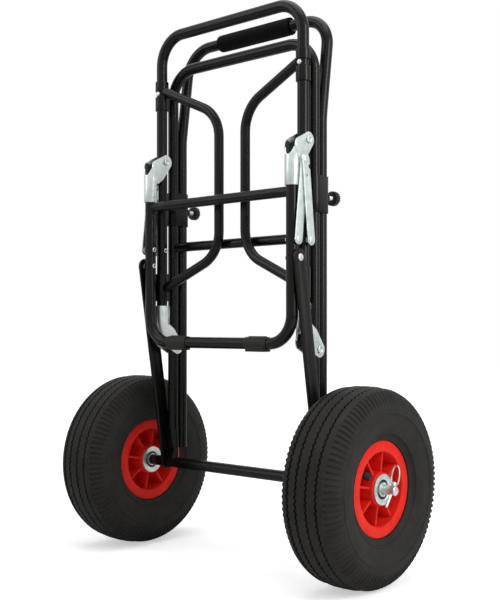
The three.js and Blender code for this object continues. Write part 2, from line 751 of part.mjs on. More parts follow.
/** Stay link on the leg: plain, with its rivet through the leg. */
function legLink() {
  const face = STAY_X + STAY_THICK;
  const bar = plate(linkShape(STAY_LINK, STAY_HALF), STAY_X, face);
  const head = rod(BOSS_R, v3(face - OVERRUN, 0, 0), v3(face + STAY_HEAD, 0, 0));
  return joined(bar, head, legRivet(STAY_X + OVERRUN));
}

/** Stay link on the deck: notched edge and a small hole, with its rivet through the deck's leg. */
function deckLink() {
  const from = STAY_X + STAY_THICK + STAY_GAP;
  const face = from + STAY_THICK;
  const bar = plate(linkShape(STAY_LINK, STAY_HALF), from, face);
  const heads = [0, STAY_LINK].map((z) =>
    rod(BOSS_R, v3(face - OVERRUN, 0, z), v3(face + STAY_HEAD, 0, z)),
  );
  const across = (y, z, r) => drill(r, v3(from - OVERRUN, y, z), v3(face + OVERRUN, y, z));
  return cut(
    joined(bar, ...heads, legRivet(from + OVERRUN)),
    across(STAY_HALF, STAY_NOTCH_Z, STAY_NOTCH_R),
    across(0, STAY_HOLE_Z, STAY_HOLE_R),
  );
}

/** Side arm: a bow of tube between the two sleeves, reaching towards the middle. */
function sideArm(sign) {
  const drop = ARM_REACH * Math.tan(rad(ARM_SLOPE));
  const corners = [
    v3(0, 0, ARM_TOP_Z),
    v3(-sign * ARM_REACH, 0, ARM_TOP_Z - drop),
    v3(-sign * ARM_REACH, 0, ARM_BOTTOM_Z + drop),
    v3(0, 0, ARM_BOTTOM_Z),
  ];
  const bow = bentTube(corners, [ARM_BEND, ARM_BEND], ARM_R);
  const trims = [ARM_TOP_Z, ARM_BOTTOM_Z].flatMap((z) => {
    const reach = SLEEVE_R + ARM_R;
    const near = -sign * OVERRUN;
    const far = sign * SLEEVE_R;
    return [
      drill(SLEEVE_R + GAP, v3(0, 0, z - reach), v3(0, 0, z + reach), TUBE_SIDES),
      block(v3(Math.min(near, far), -reach, z - reach), v3(Math.max(near, far), reach, z + reach)),
    ];
  });
  return cut(bow, ...trims);
}

/** Sleeve that turns on a leg of the deck hoop, round the bow's end at the height z. */
function armSleeve(z, [down, up]) {
  const ring = new THREE.Shape(circlePoints(SLEEVE_R, TUBE_SIDES, false));
  ring.holes.push(new THREE.Path(circlePoints(TUBE_R + GAP, TUBE_SIDES, true)));
  return prism(ring, v3(0, 0, z + down), v3(0, 0, z + up));
}

/** Upper sleeve, with a cut half round it for the stop rivet. */
function slottedSleeve(sign) {
  const reach = SLEEVE_R + OVERRUN;
  const slot = block(v3(0, -reach, STOP_Z - SLOT_HALF), v3(reach, reach, STOP_Z + SLOT_HALF));
  slot.rotateZ(-Math.PI / 2 + sign * rad(SLOT_AZIMUTH));
  return cut(armSleeve(ARM_TOP_Z, UPPER_SLEEVE), slot);
}

/** Rivet in the front of a deck leg. Its head stands in the cut of the upper sleeve. */
function stopRivet() {
  const shank = rod(STOP_R, v3(0, -TUBE_R / 2, 0), v3(0, -TUBE_R - GAP - STOP_HEAD / 2, 0));
  const head = rod(STOP_HEAD_R, v3(0, -TUBE_R - GAP, 0), v3(0, -TUBE_R - GAP - STOP_HEAD, 0));
  return joined(shank, head);
}

/** Rubber pad on the bottom bar: round, with a flat sole and a thin fin on top. */
function footPad() {
  const round = plate(new THREE.Shape(circlePoints(PAD_R, PAD_SIDES, true)), -PAD_HALF, PAD_HALF);
  const sole = block(
    v3(-PAD_HALF, -PAD_SOLE_HALF, -PAD_R),
    v3(PAD_HALF, PAD_SOLE_HALF, -PAD_R / 2),
  );
  const fin = block(
    v3(-PAD_HALF, -PAD_FIN_HALF, PAD_R - OVERRUN),
    v3(PAD_HALF, PAD_FIN_HALF, PAD_R + PAD_FIN),
  );
  const bore = drill(
    TUBE_R + GAP,
    v3(-PAD_HALF - OVERRUN, 0, 0),
    v3(PAD_HALF + OVERRUN, 0, 0),
    PAD_SIDES,
  );
  return cut(joined(round, sole, fin), bore);
}

/** Points of a half section, from the middle outwards, and their mirror image on the other side. */
const mirrored = (half) => [...half.map(([r, x]) => [r, -x]).reverse(), ...half];

/** Rim: hub, web, barrel and flanges in one moulding, with ribs on both sides of the web. */
function rim(ribStart) {
  const boreR = BEARING_R + GAP;
  const seatHalf = HUB_HALF - BEARING_DEPTH;
  const outside = [
    [BEAD_R, BEAD_HALF],
    [RIM_R, BEAD_HALF],
    [RIM_R, RIM_HALF - RIM_ROUND],
    [RIM_R - RIM_ROUND, RIM_HALF],
    [BARREL_INNER_R + BARREL_DRAFT, RIM_HALF],
    [BARREL_INNER_R, WEB_HALF],
    [HUB_R, WEB_HALF],
    [HUB_R, HUB_HALF],
    [boreR, HUB_HALF],
    [boreR, seatHalf],
    [HUB_BORE_R, seatHalf],
  ];
  const moulding = turned(mirrored(outside), WHEEL_SIDES);
  const tip = RIM_HALF - RIB_SET_BACK;
  const ribShape = new THREE.Shape([
    new THREE.Vector2(HUB_R - OVERRUN, -tip),
    new THREE.Vector2(BARREL_INNER_R + OVERRUN, -tip),
    new THREE.Vector2(BARREL_INNER_R + OVERRUN, tip),
    new THREE.Vector2(HUB_R - OVERRUN, tip),
  ]);
  const ribs = Array.from({ length: RIB_COUNT }, (_, i) => {
    const rib = new THREE.ExtrudeGeometry(ribShape, { depth: 2 * RIB_HALF, bevelEnabled: false });
    rib.translate(0, 0, -RIB_HALF);
    rib.applyMatrix4(new THREE.Matrix4().makeBasis(v3(0, 1, 0), v3(1, 0, 0), v3(0, 0, -1)));
    return rib.rotateX(ribStart + (i * 2 * Math.PI) / RIB_COUNT);
  });
  const line = valveLine(ribStart);
  return cut(joined(moulding, ...ribs), valveRod(line, VALVE_R + GAP, OVERRUN, 0));
}

/** Root, tip and direction of the valve stem, between two ribs. */
function valveLine(ribStart) {
  const azimuth = ribStart + (VALVE_RIB_SHARE * 2 * Math.PI) / RIB_COUNT;
  const at = (r, x) => v3(x, r * Math.cos(azimuth), r * Math.sin(azimuth));
  const root = at(VALVE_ROOT_R, VALVE_ROOT_X);
  const tip = at(VALVE_TIP_R, VALVE_TIP_X);
  return { root, tip, way: tip.clone().sub(root).normalize() };
}

/** A rod along the valve stem, longer at the root and at the tip by the lengths given. */
function valveRod({ root, tip, way }, radius, moreRoot, moreTip) {
  const from = root.clone().addScaledVector(way, -moreRoot);
  return rod(radius, from, tip.clone().addScaledVector(way, moreTip));
}

/** Corners of one round groove in the tread, from the tyre's middle outwards. */
function treadGroove(x) {
  const r = TYRE_R - CROWN_DROP * (x / CROWN_HALF) ** 2;
  return [
    [r, x - GROOVE_HALF],
    [r - GROOVE_DEEP, x - GROOVE_HALF / 2],
    [r - GROOVE_DEEP, x + GROOVE_HALF / 2],
    [r, x + GROOVE_HALF],
  ];
}

/** Tyre: an open section with beads on the rim, a bulging sidewall and a grooved, crowned tread. */
function tyre() {
  const beadR = BEAD_R + GAP;
  const clip = BEAD_HALF - GAP;
  const inner = TYRE_HALF_WIDTH - SIDEWALL;
  const section = [
    [TYRE_R, 0],
    ...GROOVE_PLACES.flatMap(treadGroove),
    [TYRE_R - CROWN_DROP, CROWN_HALF],
    [SHOULDER_R, SHOULDER_HALF],
    [SIDEWALL_R + (SHOULDER_R - SIDEWALL_R) / 2, TYRE_HALF_WIDTH - OVERRUN],
    [SIDEWALL_R, TYRE_HALF_WIDTH],
    [RIM_R + (SIDEWALL_R - RIM_R) / 2, TYRE_HALF_WIDTH - SIDEWALL / 2],
    [RIM_R + GAP, RIM_HALF + OVERRUN],
    [RIM_R + GAP, clip],
    [beadR, clip],
    [beadR, BEAD_TOE],
    [RIM_R, BEAD_TOE + SIDEWALL],
    [SIDEWALL_R - SIDEWALL, inner - OVERRUN],
    [SHOULDER_R - TREAD_WALL, SHOULDER_HALF - SIDEWALL],
    [TYRE_R - TREAD_WALL, 0],
  ];
  const back = section.slice(1, -1).map(([r, x]) => [r, -x]);
  const loop = [...section, ...back.reverse()];
  return turned(loop, WHEEL_SIDES);
}

/** Inner tube: a thin air-filled ring, with a valve stem whose bore opens into it. */
function innerTube(ribStart) {
  const flatOfTyre = Math.cos(Math.PI / WHEEL_SIDES);
  const cornerHere = 1 / Math.cos(Math.PI / AIR_TUBE_SIDES);
  const half = (inset) => [
    [(TYRE_R - TREAD_WALL) * flatOfTyre - GAP - inset, 0],
    [
      (SHOULDER_R - TREAD_WALL) * flatOfTyre - AIR_CLEAR - inset,
      SHOULDER_HALF - SIDEWALL - AIR_CLEAR - inset,
    ],
    [SIDEWALL_R - SIDEWALL, TYRE_HALF_WIDTH - SIDEWALL - AIR_SIDE_CLEAR - inset],
    [RIM_R * cornerHere + AIR_CLEAR + inset, BEAD_TOE + SIDEWALL - 2 * AIR_CLEAR - inset],
    [(BEAD_R + GAP) * cornerHere + inset, BEAD_TOE - AIR_CLEAR - inset],
  ];
  const ring = (inset) => {
    const side = half(inset);
    const back = side.slice(1).map(([r, x]) => [r, -x]);
    return turned([...side, ...back.reverse()], AIR_TUBE_SIDES);
  };
  const shell = cut(ring(0), ring(AIR_TUBE_WALL));
  const line = valveLine(ribStart);
  const bore = valveRod(line, VALVE_BORE_R, AIR_TUBE_WALL, OVERRUN);
  return cut(joined(shell, valveRod(line, VALVE_R, 0, 0)), bore);
}

/** Cap over the tip of the valve stem. */
function valveCap(ribStart) {
  const { tip, way } = valveLine(ribStart);
  const low = tip.clone().addScaledVector(way, -CAP_COVER);
  const high = low.clone().addScaledVector(way, CAP_LENGTH);
  const cap = rod(VALVE_R + GAP + CAP_WALL, low, high);
  const mouth = low.clone().addScaledVector(way, -OVERRUN);
  return cut(cap, drill(VALVE_R + GAP, mouth, tip.addScaledVector(way, GAP)));
}

/** Bearing at the +x face of a hub: flange outside, inner race round the rod. */
function bearing() {
  const seat = HUB_HALF - BEARING_DEPTH + GAP;
  const flange = HUB_HALF + GAP;
  const face = flange + BEARING_FLANGE;
  const race = face + RACE_PROUD;
  const bore = (ROD_R + GAP) / Math.cos(Math.PI / TUBE_SIDES);
  return turned(
    [
      [bore, seat],
      [BEARING_R, seat],
      [BEARING_R, flange],
      [BEARING_FLANGE_R, flange],
      [BEARING_FLANGE_R, face],
      [GROOVE_R, face],
      [GROOVE_R, face - GROOVE_DEPTH],
      [RACE_R, face - GROOVE_DEPTH],
      [RACE_R, race],
      [bore, race],
    ],
    TUBE_SIDES,
  );
}

/** Lynch pin along its own +z, its head bored across for the ring. */
function lynchPin() {
  const tail = ROD_R;
  const profile = [
    [0, -LYNCH_TAIL],
    [LYNCH_R / 2, -LYNCH_TAIL],
    [LYNCH_R, -LYNCH_TAIL + LYNCH_R],
    [LYNCH_R, tail + GAP],
    [LYNCH_HEAD_R, LYNCH_HEAD_FROM],
    [LYNCH_HEAD_R, LYNCH_HEAD_FROM + LYNCH_HEAD - LYNCH_R],
    [LYNCH_R, LYNCH_HEAD_FROM + LYNCH_HEAD],
    [0, LYNCH_HEAD_FROM + LYNCH_HEAD],
  ];
  const outline = profile.map(([r, z]) => new THREE.Vector2(r, z));
  const pin = new THREE.LatheGeometry(outline, PIN_SIDES).rotateX(Math.PI / 2);
  const reach = LYNCH_HEAD_R + OVERRUN;
  return cut(pin, drill(RING_HOLE_R, v3(-reach, 0, ringHoleZ), v3(reach, 0, ringHoleZ)));
}

const ringHoleZ = LYNCH_HEAD_FROM + LYNCH_HEAD / 2;

/** Loop of wire through the pin's head: an oval whose straight chord is the hinge. */
function lynchRing() {
  const chord = LYNCH_HEAD_R + RING_WIRE_R;
  const start = Math.asin(chord / RING_HALF);
  const drop = RING_HIGH * Math.cos(start);
  const steps = RING_STEPS;
  const stops = Array.from({ length: steps + 1 }, (_, k) => {
    const a = start + (2 * (Math.PI - start) * k) / steps;
    return v3(-RING_HALF * Math.sin(a), 0, drop - RING_HIGH * Math.cos(a));
  });
  const extrudePath = new THREE.CatmullRomCurve3(stops);
  const section = new THREE.Shape(circlePoints(RING_WIRE_R, BORE_SIDES));
  const wire = new THREE.ExtrudeGeometry(section, { steps, extrudePath, bevelEnabled: false });
  const hinge = rod(RING_WIRE_R, v3(-chord - GAP, 0, 0), v3(chord + GAP, 0, 0), BORE_SIDES);
  return joined(wire, hinge);
}

/** Everything that turns with one wheel. */
function wheel(tag, ribStart) {
  const group = new THREE.Group();
  const inside = bearing().rotateZ(Math.PI);
  group.add(
    piece("tyre_" + tag, tyre(), rubber),
    piece("inner_tube_" + tag, innerTube(ribStart), rubber),
    piece("rim_" + tag, rim(ribStart), redPlastic),
    piece("bearing_outer_" + tag, bearing(), zinc),
    piece("bearing_inner_" + tag, inside, zinc),
    piece("valve_cap_" + tag, valveCap(ribStart), blackPlastic),
  );
  return group;
}

/** Places a group at a point. */
function placed(group, at, turn = new THREE.Euler()) {
  group.position.copy(at);
  group.rotation.copy(turn);
  return group;
}

const root = new THREE.Group();
root.add(
  piece("rear_hoop", rearHoop(), paint),
  piece("rear_crossbar", crossbar(REAR_Y, REAR_BAR_Z), paint),
  piece("axle_tube", axleTube(), paint),
  piece("axle_rod", axleRod(), zinc),
  piece("handle_hoop", handleHoop(), paint),
  piece("foam_grip", foamGrip(), foam),
  piece("deck_hoop", deckHoop(), paint),
  piece("leg_hoop", legHoop(), paint),
  piece("leg_crossbar", crossbar(LEG_Y, LEG_BAR_Z), paint),
);

const armRest = Math.asin((REAR_Y - TUBE_R - GAP - ARM_R - DECK_Y) / ARM_REACH);
const strutLean = -Math.atan2(strutRun.x, strutRun.y);
const stayLean = Math.asin(PLANE_STEP / 2 / STAY_LINK);

for (const { tag, sign } of sides) {
  const legX = sign * FRAME_HALF;
  const facing = new THREE.Euler(0, 0, sign > 0 ? 0 : Math.PI);

  root.add(
    piece("handle_clamp_" + tag, handleClamp(sign), paint),
    piece("clamp_stud_" + tag, clampStud(sign), zinc),
    piece("clamp_knob_" + tag, clampKnob(sign), blackPlastic),
  );

  const upperHinge = new THREE.Group();
  upperHinge.add(
    piece("upper_hinge_bracket_" + tag, hingeBracket(), zinc),
    piece("upper_hinge_pin_" + tag, hingePin(), zinc),
  );
  root.add(placed(upperHinge, v3(legX, DECK_Y, UPPER_PIVOT_Z)));

  const lowerHinge = new THREE.Group();
  lowerHinge.add(
    piece("lower_hinge_bracket_" + tag, hingeBracket(), zinc),
    piece("lower_hinge_pin_" + tag, hingePin(), zinc),
  );
  const upsideDown = new THREE.Euler(0, Math.PI, 0);
  root.add(placed(lowerHinge, v3(legX, REAR_Y, LOWER_PIVOT_Z), upsideDown));

  const stop = new THREE.Group();
  stop.add(piece("arm_stop_rivet_" + tag, stopRivet(), zinc));
  root.add(placed(stop, v3(legX, DECK_Y, STOP_Z)));

  const arm = new THREE.Group();
  arm.add(
    piece("side_arm_" + tag, sideArm(sign), paint),
    piece("arm_upper_sleeve_" + tag, slottedSleeve(sign), paint),
    piece("arm_lower_sleeve_" + tag, armSleeve(ARM_BOTTOM_Z, LOWER_SLEEVE), paint),
  );
  root.add(placed(arm, v3(legX, DECK_Y, 0), new THREE.Euler(0, 0, -sign * armRest)));

  const pad = new THREE.Group();
  pad.add(piece("foot_pad_" + tag, footPad(), rubber));
  root.add(placed(pad, v3(sign * PAD_X, LEG_Y, LEG_BOTTOM_Z)));

  // The strut, the stays and their rivets are drawn on the right. The left ones are their mirror.
  const outer = new THREE.Group();
  outer.scale.x = sign;
  const boss = new THREE.Group();
  boss.add(piece("strut_boss_" + tag, legRivet(STRUT_X - GAP), zinc));
  outer.add(placed(boss, v3(0, LEG_Y, STRUT_PIVOT_Z)));
  const bar = new THREE.Group();
  bar.add(
    piece("strut_" + tag, strut(), paint),
    piece("strut_rivet_" + tag, strutRivet(), zinc),
  );
  outer.add(placed(bar, v3(0, REAR_Y, AXLE_Z), new THREE.Euler(strutLean, 0, 0)));
  const fromLeg = new THREE.Group();
  fromLeg.add(piece("stay_leg_link_" + tag, legLink(), zinc));
  outer.add(placed(fromLeg, v3(0, LEG_Y, STAY_PIVOT_Z), new THREE.Euler(-stayLean, 0, 0)));
  const fromDeck = new THREE.Group();
  fromDeck.add(piece("stay_deck_link_" + tag, deckLink(), zinc));
  outer.add(placed(fromDeck, v3(0, DECK_Y, STAY_PIVOT_Z), new THREE.Euler(stayLean, 0, 0)));
  root.add(outer);

  const hub = new THREE.Group();
  hub.add(wheel(tag, sign * rad(RIB_AZIMUTH)));
  root.add(placed(hub, v3(sign * WHEEL_X, REAR_Y, AXLE_Z), facing));

  const ring = new THREE.Group();
  ring.add(piece("lynch_ring_" + tag, lynchRing(), zinc));
  placed(ring, v3(0, 0, ringHoleZ), new THREE.Euler(rad(RING_LEAN), 0, 0));
  const pin = new THREE.Group();
  pin.add(piece("lynch_pin_" + tag, lynchPin(), zinc), ring);
  pin.rotation.x = rad(LYNCH_LEAN) - Math.PI / 2;
  const end = new THREE.Group();
  end.add(pin);
  root.add(placed(end, v3(sign * LYNCH_X, REAR_Y, AXLE_Z), facing));
}

export default root;
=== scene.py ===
"""Looks of a folding two-wheel trolley: finer tubes, wheels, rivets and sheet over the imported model.

Metres, +Z up, the floor at z = 0, the axle along X. The folded legs face -Y.
"""

import json
import math

import bmesh
import bpy
from mathutils import Matrix, Vector

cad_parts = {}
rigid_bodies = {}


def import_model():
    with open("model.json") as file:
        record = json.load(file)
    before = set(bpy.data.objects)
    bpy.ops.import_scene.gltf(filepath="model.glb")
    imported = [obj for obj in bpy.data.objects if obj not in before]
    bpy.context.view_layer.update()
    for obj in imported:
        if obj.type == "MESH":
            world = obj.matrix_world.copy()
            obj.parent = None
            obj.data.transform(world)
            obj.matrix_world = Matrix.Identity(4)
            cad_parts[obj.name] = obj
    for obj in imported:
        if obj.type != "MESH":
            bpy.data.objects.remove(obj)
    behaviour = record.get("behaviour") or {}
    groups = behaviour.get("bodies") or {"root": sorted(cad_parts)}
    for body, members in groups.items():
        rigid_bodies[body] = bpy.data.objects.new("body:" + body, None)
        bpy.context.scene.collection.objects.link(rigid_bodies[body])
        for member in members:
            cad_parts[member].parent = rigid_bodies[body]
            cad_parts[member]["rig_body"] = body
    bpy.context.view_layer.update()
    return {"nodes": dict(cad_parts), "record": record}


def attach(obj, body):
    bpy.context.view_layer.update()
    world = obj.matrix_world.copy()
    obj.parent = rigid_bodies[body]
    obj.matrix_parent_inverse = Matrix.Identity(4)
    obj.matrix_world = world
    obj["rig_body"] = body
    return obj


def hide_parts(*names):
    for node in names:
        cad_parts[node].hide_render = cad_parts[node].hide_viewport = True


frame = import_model()
NODES = frame["nodes"]
SLOT_OF = {row["node"]: row["material_slot"] for row in frame["record"]["subparts"]}
SIDES = {"l": -1, "r": 1}

# Facets of the visual model. A straight tube is split where a rule moves its points.
TUBE_SIDES = 40
PIN_SIDES = 28
WHEEL_SIDES = 144
BEARING_SIDES = 72
CAP_SIDES = 64
WIRE_SIDES = 16
ARC_STEP = math.radians(4.5)
ROUND_STEPS = 24
WRAP_STEPS = 20
CORNER_STEPS = 8
DOME_STEPS = 6
ROLL_STEPS = 10
GRIP_STEPS = 5
TYRE_STEPS = 3
RING_STEPS = 48
UNSPLIT = 1
HOOP_STEP = 0.0015
BAR_STEP = 0.002

# Rounding of the edges, and how far joined shapes overlap.
SHARP = math.radians(32)
EDGE_STEPS = 3
FEW_STEPS = 2
SLEEVE_ROUND = 0.0004
BRACKET_ROUND = 0.00035
STRUT_ROUND = 0.0007
STAY_ROUND = 0.0004
STRAP_ROUND = 0.0005
NUT_ROUND = 0.0006
KNOB_ROUND = 0.0009
PAD_ROUND = 0.0009
RING_END_ROUND = 0.0004
RIM_ROUND = 0.0016
RIM_SHARP = math.radians(50)
RIB_ROUND = 0.0006
BEARING_ROUND = 0.0003
SEAL_ROUND = 0.0002
OVERLAP = 0.0002

# Frame tube and its planes.
TUBE_R = 0.008
TUBE_WALL = 0.0015
GAP = 0.0003
FRAME_HALF = 0.1355
PLANE_STEP = 0.0235
REAR_Y = 0
DECK_Y = REAR_Y - PLANE_STEP
LEG_Y = DECK_Y - PLANE_STEP

# Rear hoop and crossbars.
AXLE_Z = 0.13
REAR_TOP_Z = 0.723
REAR_BEND = 0.043
REAR_BAR_Z = 0.457
TONGUE_Z = 0.165
TONGUE_BLEND = 0.026
TONGUE_HALF = 0.0098
TONGUE_HOLE_Z = 0.15
TONGUE_HOLE_R = 0.0028
TONGUE_DIMPLE = 0.0019
DIMPLE_HALF_WIDTH = 0.0052
DIMPLE_HALF_LENGTH = 0.0085
BAR_R = 0.007
BAR_FLAT_HALF = 0.0052
BAR_FLAT = 0.016
BAR_BLEND = 0.022

# Deck hoop and leg hoop.
LOWER_PIVOT_Z = 0.306
UPPER_PIVOT_Z = 0.5837
PIVOT_TO_END = 0.01
DECK_TOP_Z = 0.77
DECK_BEND = 0.042
LEG_BOTTOM_Z = 0.314
LEG_BEND = 0.039
LEG_BAR_Z = 0.5142
PLUG_SKIRT = 0.012
PLUG_SIDE = 0.0055
PLUG_DOME = 0.0075
PLUG_RIBS = 3
PLUG_RIB_DEPTH = 0.0006
PLUG_RIB_SHARES = ((0.5, 0), (0.6, 1), (0.9, 1), (1, 0))

# Handle.
HANDLE_Y = 0.017
HANDLE_HALF = 0.1345
HANDLE_END_Z = 0.152
HANDLE_KNEE_Z = 0.62
HANDLE_KNEE_BEND = 0.12
HANDLE_TOP_Z = 0.763
HANDLE_TOP_Y = 0.036
HANDLE_BEND = 0.042
GRIP_HALF = 0.066
GRIP_R = 0.0125
GRIP_ROUND = 0.0045
GRIP_ROUND_SHARE = 0.3

# Side arms and their sleeves.
ARM_R = 0.007
ARM_REACH = 0.1105
ARM_TOP_Z = 0.693
ARM_BOTTOM_Z = 0.391
ARM_SLOPE = math.radians(24.5)
ARM_BEND = 0.05
ARM_REST = math.asin((REAR_Y - TUBE_R - GAP - ARM_R - DECK_Y) / ARM_REACH)
SLEEVE_R = 0.01
UPPER_SLEEVE = (0.662, 0.705)
LOWER_SLEEVE = (0.375, 0.416)
STOP_Z = 0.6865
STOP_R = 0.002
STOP_HEAD_R = 0.0035
STOP_HEAD = 0.0018
SLOT_HALF = 0.0045
SLOT_AZIMUTH = math.radians(43)

# Hinge brackets of sheet, measured from their pivots, and their rivets.
SHEET = 0.0015
EAR_R = 0.0105
EAR_REAR_TURN = -math.pi / 6
EAR_FRONT = 0.0282
EAR_TOP_FRONT = 0.0028
EAR_CORNER = 0.0055
EAR_FRONT_LENGTH = 0.012
EAR_REAR_KNEE = (-0.007, -0.027)
EAR_FOOT = (-0.0165, -0.034)
WRAP_TOP = 0.022
CHANNEL_END = 0.062
FLANGE_Y = -0.0085
FLANGE_RIVET_Y = -0.0117
FLANGE_RIVETS = (-0.0415, -0.0585)
FLANGE_RIVET_R = 0.0029
FLANGE_RIVET_HEAD = 0.0012
FLANGE_BORE_R = 0.0015
PIN_R = 0.003
PIN_HEAD_R = 0.005
PIN_HEAD = 0.0018
PIN_DISH_R = 0.003
PIN_DISH = 0.0011
DISH_FLOOR_SHARE = 0.9
DOME_SIDE_SHARE = 0.3

# Handle clamps with their studs and knobs.
CLAMP_Z = (0.49, 0.54)
KNOB_Z = 0.513
NUT_SIDES = 6
NUT_R = 0.0065
NUT_THICK = 0.003
STUD_R = 0.003
THREAD = 0.001
THREAD_DEPTH_SHARE = 0.4
KNOB_R = 0.0103
KNOB_Y = 0.0397
KNOB_THICK = 0.0086
KNOB_LOBES = 20
STEPS_PER_LOBE = 6
KNOB_LOBE_DEPTH = 0.0012
STUD_IN_KNOB = 0.005

# Struts and folding stays.
STRUT_PIVOT_Z = 0.427
STRUT_HALF = 0.0115
STRUT_THICK = 0.0035
STRUT_X = 0.1461
STAY_PIVOT_Z = 0.451
STAY_LINK = 0.1057
STAY_HALF = 0.0073
STAY_THICK = 0.0018
STAY_GAP = 0.0004
STAY_X = 0.1457
STAY_HEAD = 0.0015
STAY_NOTCH_Z = 0.096
STAY_NOTCH_R = 0.003
STAY_HOLE_Z = 0.0845
STAY_HOLE_R = 0.0015
BOSS_R = 0.005
RIVET_R = 0.0025
RIVET_END_R = 0.0035
RIVET_END = 0.0012
RIVET_BORE_R = 0.0017
RIVET_BORE = 0.0045

# Foot pads on the bottom bar.
PAD_X = 0.076
PAD_HALF = 0.0198
PAD_R = 0.011
PAD_SOLE_HALF = 0.008
PAD_FIN_HALF = 0.001
PAD_FIN = 0.0008
PAD_TOP_R = 0.0092
PAD_COLLAR = 0.004
PAD_COLLAR_R = 0.0089

# Wheels.
WHEEL_X = 0.214
TYRE_R = 0.13
CROWN_DROP = 0.003
CROWN_HALF = 0.026
LUGS = 100
ZIGZAG_SHARES = (0, 1, 0, -1)
STEPS_PER_LUG = len(ZIGZAG_SHARES)
ZIGZAG = 0.0011
GROOVE_X = (0.0078, 0.0215)
GROOVE_HALF = 0.0016
GROOVE_DEPTH = 0.003
GROOVE_FLOOR_SHARE = 0.7
LUG_DEPTH = 0.0019
LUG_ACROSS_SHARE = 0.75
LUG_INWARD_SHARE = 0.6
LUG_FROM_X = 0.031
LUG_TOP_R = 0.1245
LUG_LOW_R = 0.1015
LUG_FADE = 0.012
TYRE_WALL = (
    (0.1266, 0.028), (0.1245, 0.0318), (0.121, 0.0355), (0.115, 0.0392), (0.1085, 0.0414),
    (0.1035, 0.0422), (0.1, 0.0424), (0.0988, 0.0431), (0.0968, 0.0431), (0.0956, 0.0423),
    (0.085, 0.0412), (0.0765, 0.0386), (0.0733, 0.0372), (0.0722, 0.0376), (0.0708, 0.0368),
    (0.0695, 0.0347), (0.0655, 0.0316), (0.0626, 0.0306),
)
TYRE_TOE_HALF = 0.012
TYRE_INSIDE = ((0.0622, 0.017), (0.091, 0.0365), (0.113, 0.0305), (0.122, 0))
RIB_COUNT = 8
RIB_START = math.radians(-10)
RIB_HALF = 0.0015
RIB_SET_BACK = 0.0035
RIB_IN_HUB = 0.001
RIB_IN_BARREL = 0.0012
HUB_R = 0.022
HUB_HALF = 0.03
HUB_BORE_R = 0.013
HUB_DRAFT = 0.0008
BEARING_R = 0.016
BEARING_DEPTH = 0.01
BEARING_FLANGE_R = 0.0198
BEARING_FLANGE = 0.002
RACE_EDGE_R = (0.0152, 0.0146)
RACE_STEP = 0.0005
SEAL_R = (0.0092, 0.0125)
SEAL_DEPTH = 0.0028
SEAL_PLAY = 0.0001
SEAL_TAPER = 0.0002
SEAL_THICK = 0.0011
BARREL_R = 0.046
BARREL_DRAFT = 0.0015
RIM_R = 0.0622
RIM_HALF = 0.0297
BEAD_R = 0.0508
BEAD_HALF = 0.024
WEB_HALF = 0.003
ROD_R = 0.006
ROD_HALF = 0.2655
ROD_CHAMFER = 0.001
AXLE_TUBE_R = 0.008
AXLE_TUBE_WALL = 0.0014
AXLE_TUBE_HALF = 0.1809
VALVE_AT_RIB = 3.4
VALVE_R = 0.0036
VALVE_ROOT = (0.0535, 0.002)
VALVE_TIP = (0.03, 0.026)
CAP_WALL = 0.0013
CAP_LENGTH = 0.009
CAP_COVER = 0.0065
CAP_RIB_DEPTH = 0.0003
STEPS_PER_CAP_RIB = 4

# Lynch pins and their rings.
LYNCH_X = 0.2593
LYNCH_LEAN = math.radians(53)
LYNCH_R = 0.0021
LYNCH_TAIL = 0.024
LYNCH_TIP_SHARES = ((0, 0), (0.5, 0.1), (0.85, 0.45), (1, 1))
LYNCH_HEAD_FROM = 0.007
LYNCH_HEAD = 0.005
LYNCH_HEAD_R = 0.0032
RING_HALF = 0.0057
RING_HIGH = 0.014
RING_WIRE_R = 0.001
RING_END_SHARE = 0.6
RING_LEAN = math.radians(25)
RING_HOLE_R = 0.0015
RING_HOLE_Z = LYNCH_HEAD_FROM + LYNCH_HEAD / 2

# Cyclic turns: a body drawn along x stands along z, or along y.
UPRIGHT = Matrix(((0, 1, 0, 0), (0, 0, 1, 0), (1, 0, 0, 0), (0, 0, 0, 1)))
ALONG_Y = Matrix(((0, 0, 1, 0), (1, 0, 0, 0), (0, 1, 0, 0), (0, 0, 0, 1)))

# Picture: the camera stands at eye height of the folded frame and looks level.
CAMERA_AT = Vector((0.93555, -1.03834, 0.33711))
CAMERA_AZIMUTH = math.radians(41.38)
SENSOR = 36
LENS = 58.384
SHIFT_UP = 0.04398

# Studio: each lamp has a place, a target, a size and a power.
LAMPS = {
    "left": ((-1.6, -2.2, 1.9), (0, 0, 0.4), (1.0, 2.2), 16),
    "right": ((1.5, 0, 0.9), (0.2, 0, 0.25), (0.5, 1.2), 16),
    "top": ((0.2, -0.2, 3.0), (0, 0, 0), (2.5, 2.5), 50),
}
WHITE = (1, 1, 1, 1)
WORLD_LIGHT = 0.25
FLOOR_REACH = 6
FLOOR_Z = -0.0002
FLOOR_COLOUR = (0.93, 0.93, 0.93, 1)
FLOOR_ROUGHNESS = 0.9
GLOW = {"From Min": 0.6, "From Max": 3.0, "To Min": 0.5, "To Max": 0.85}


def at(x, y, z):
    """A move to a place."""
    return Matrix.Translation((x, y, z))


def turn(angle, axis):
    """A turn about an axis."""
    return Matrix.Rotation(angle, 4, axis)


def linked(name, data):
    """A new object in the scene."""
    made = bpy.data.objects.new(name, data)
    bpy.context.scene.collection.objects.link(made)
    return made


def smooth_shaded(mesh):
    """Shades a mesh smoothly, and its sharp edges stay sharp."""
    mesh.shade_smooth()
    mesh.set_sharp_from_angle(angle=SHARP)


def from_bmesh(name, bm):
    """Turns a bmesh into an object, its faces pointing out."""
    bmesh.ops.recalc_face_normals(bm, faces=bm.faces)
    mesh = bpy.data.meshes.new(name)
    bm.to_mesh(mesh)
    bm.free()
    smooth_shaded(mesh)
    return linked(name, mesh)


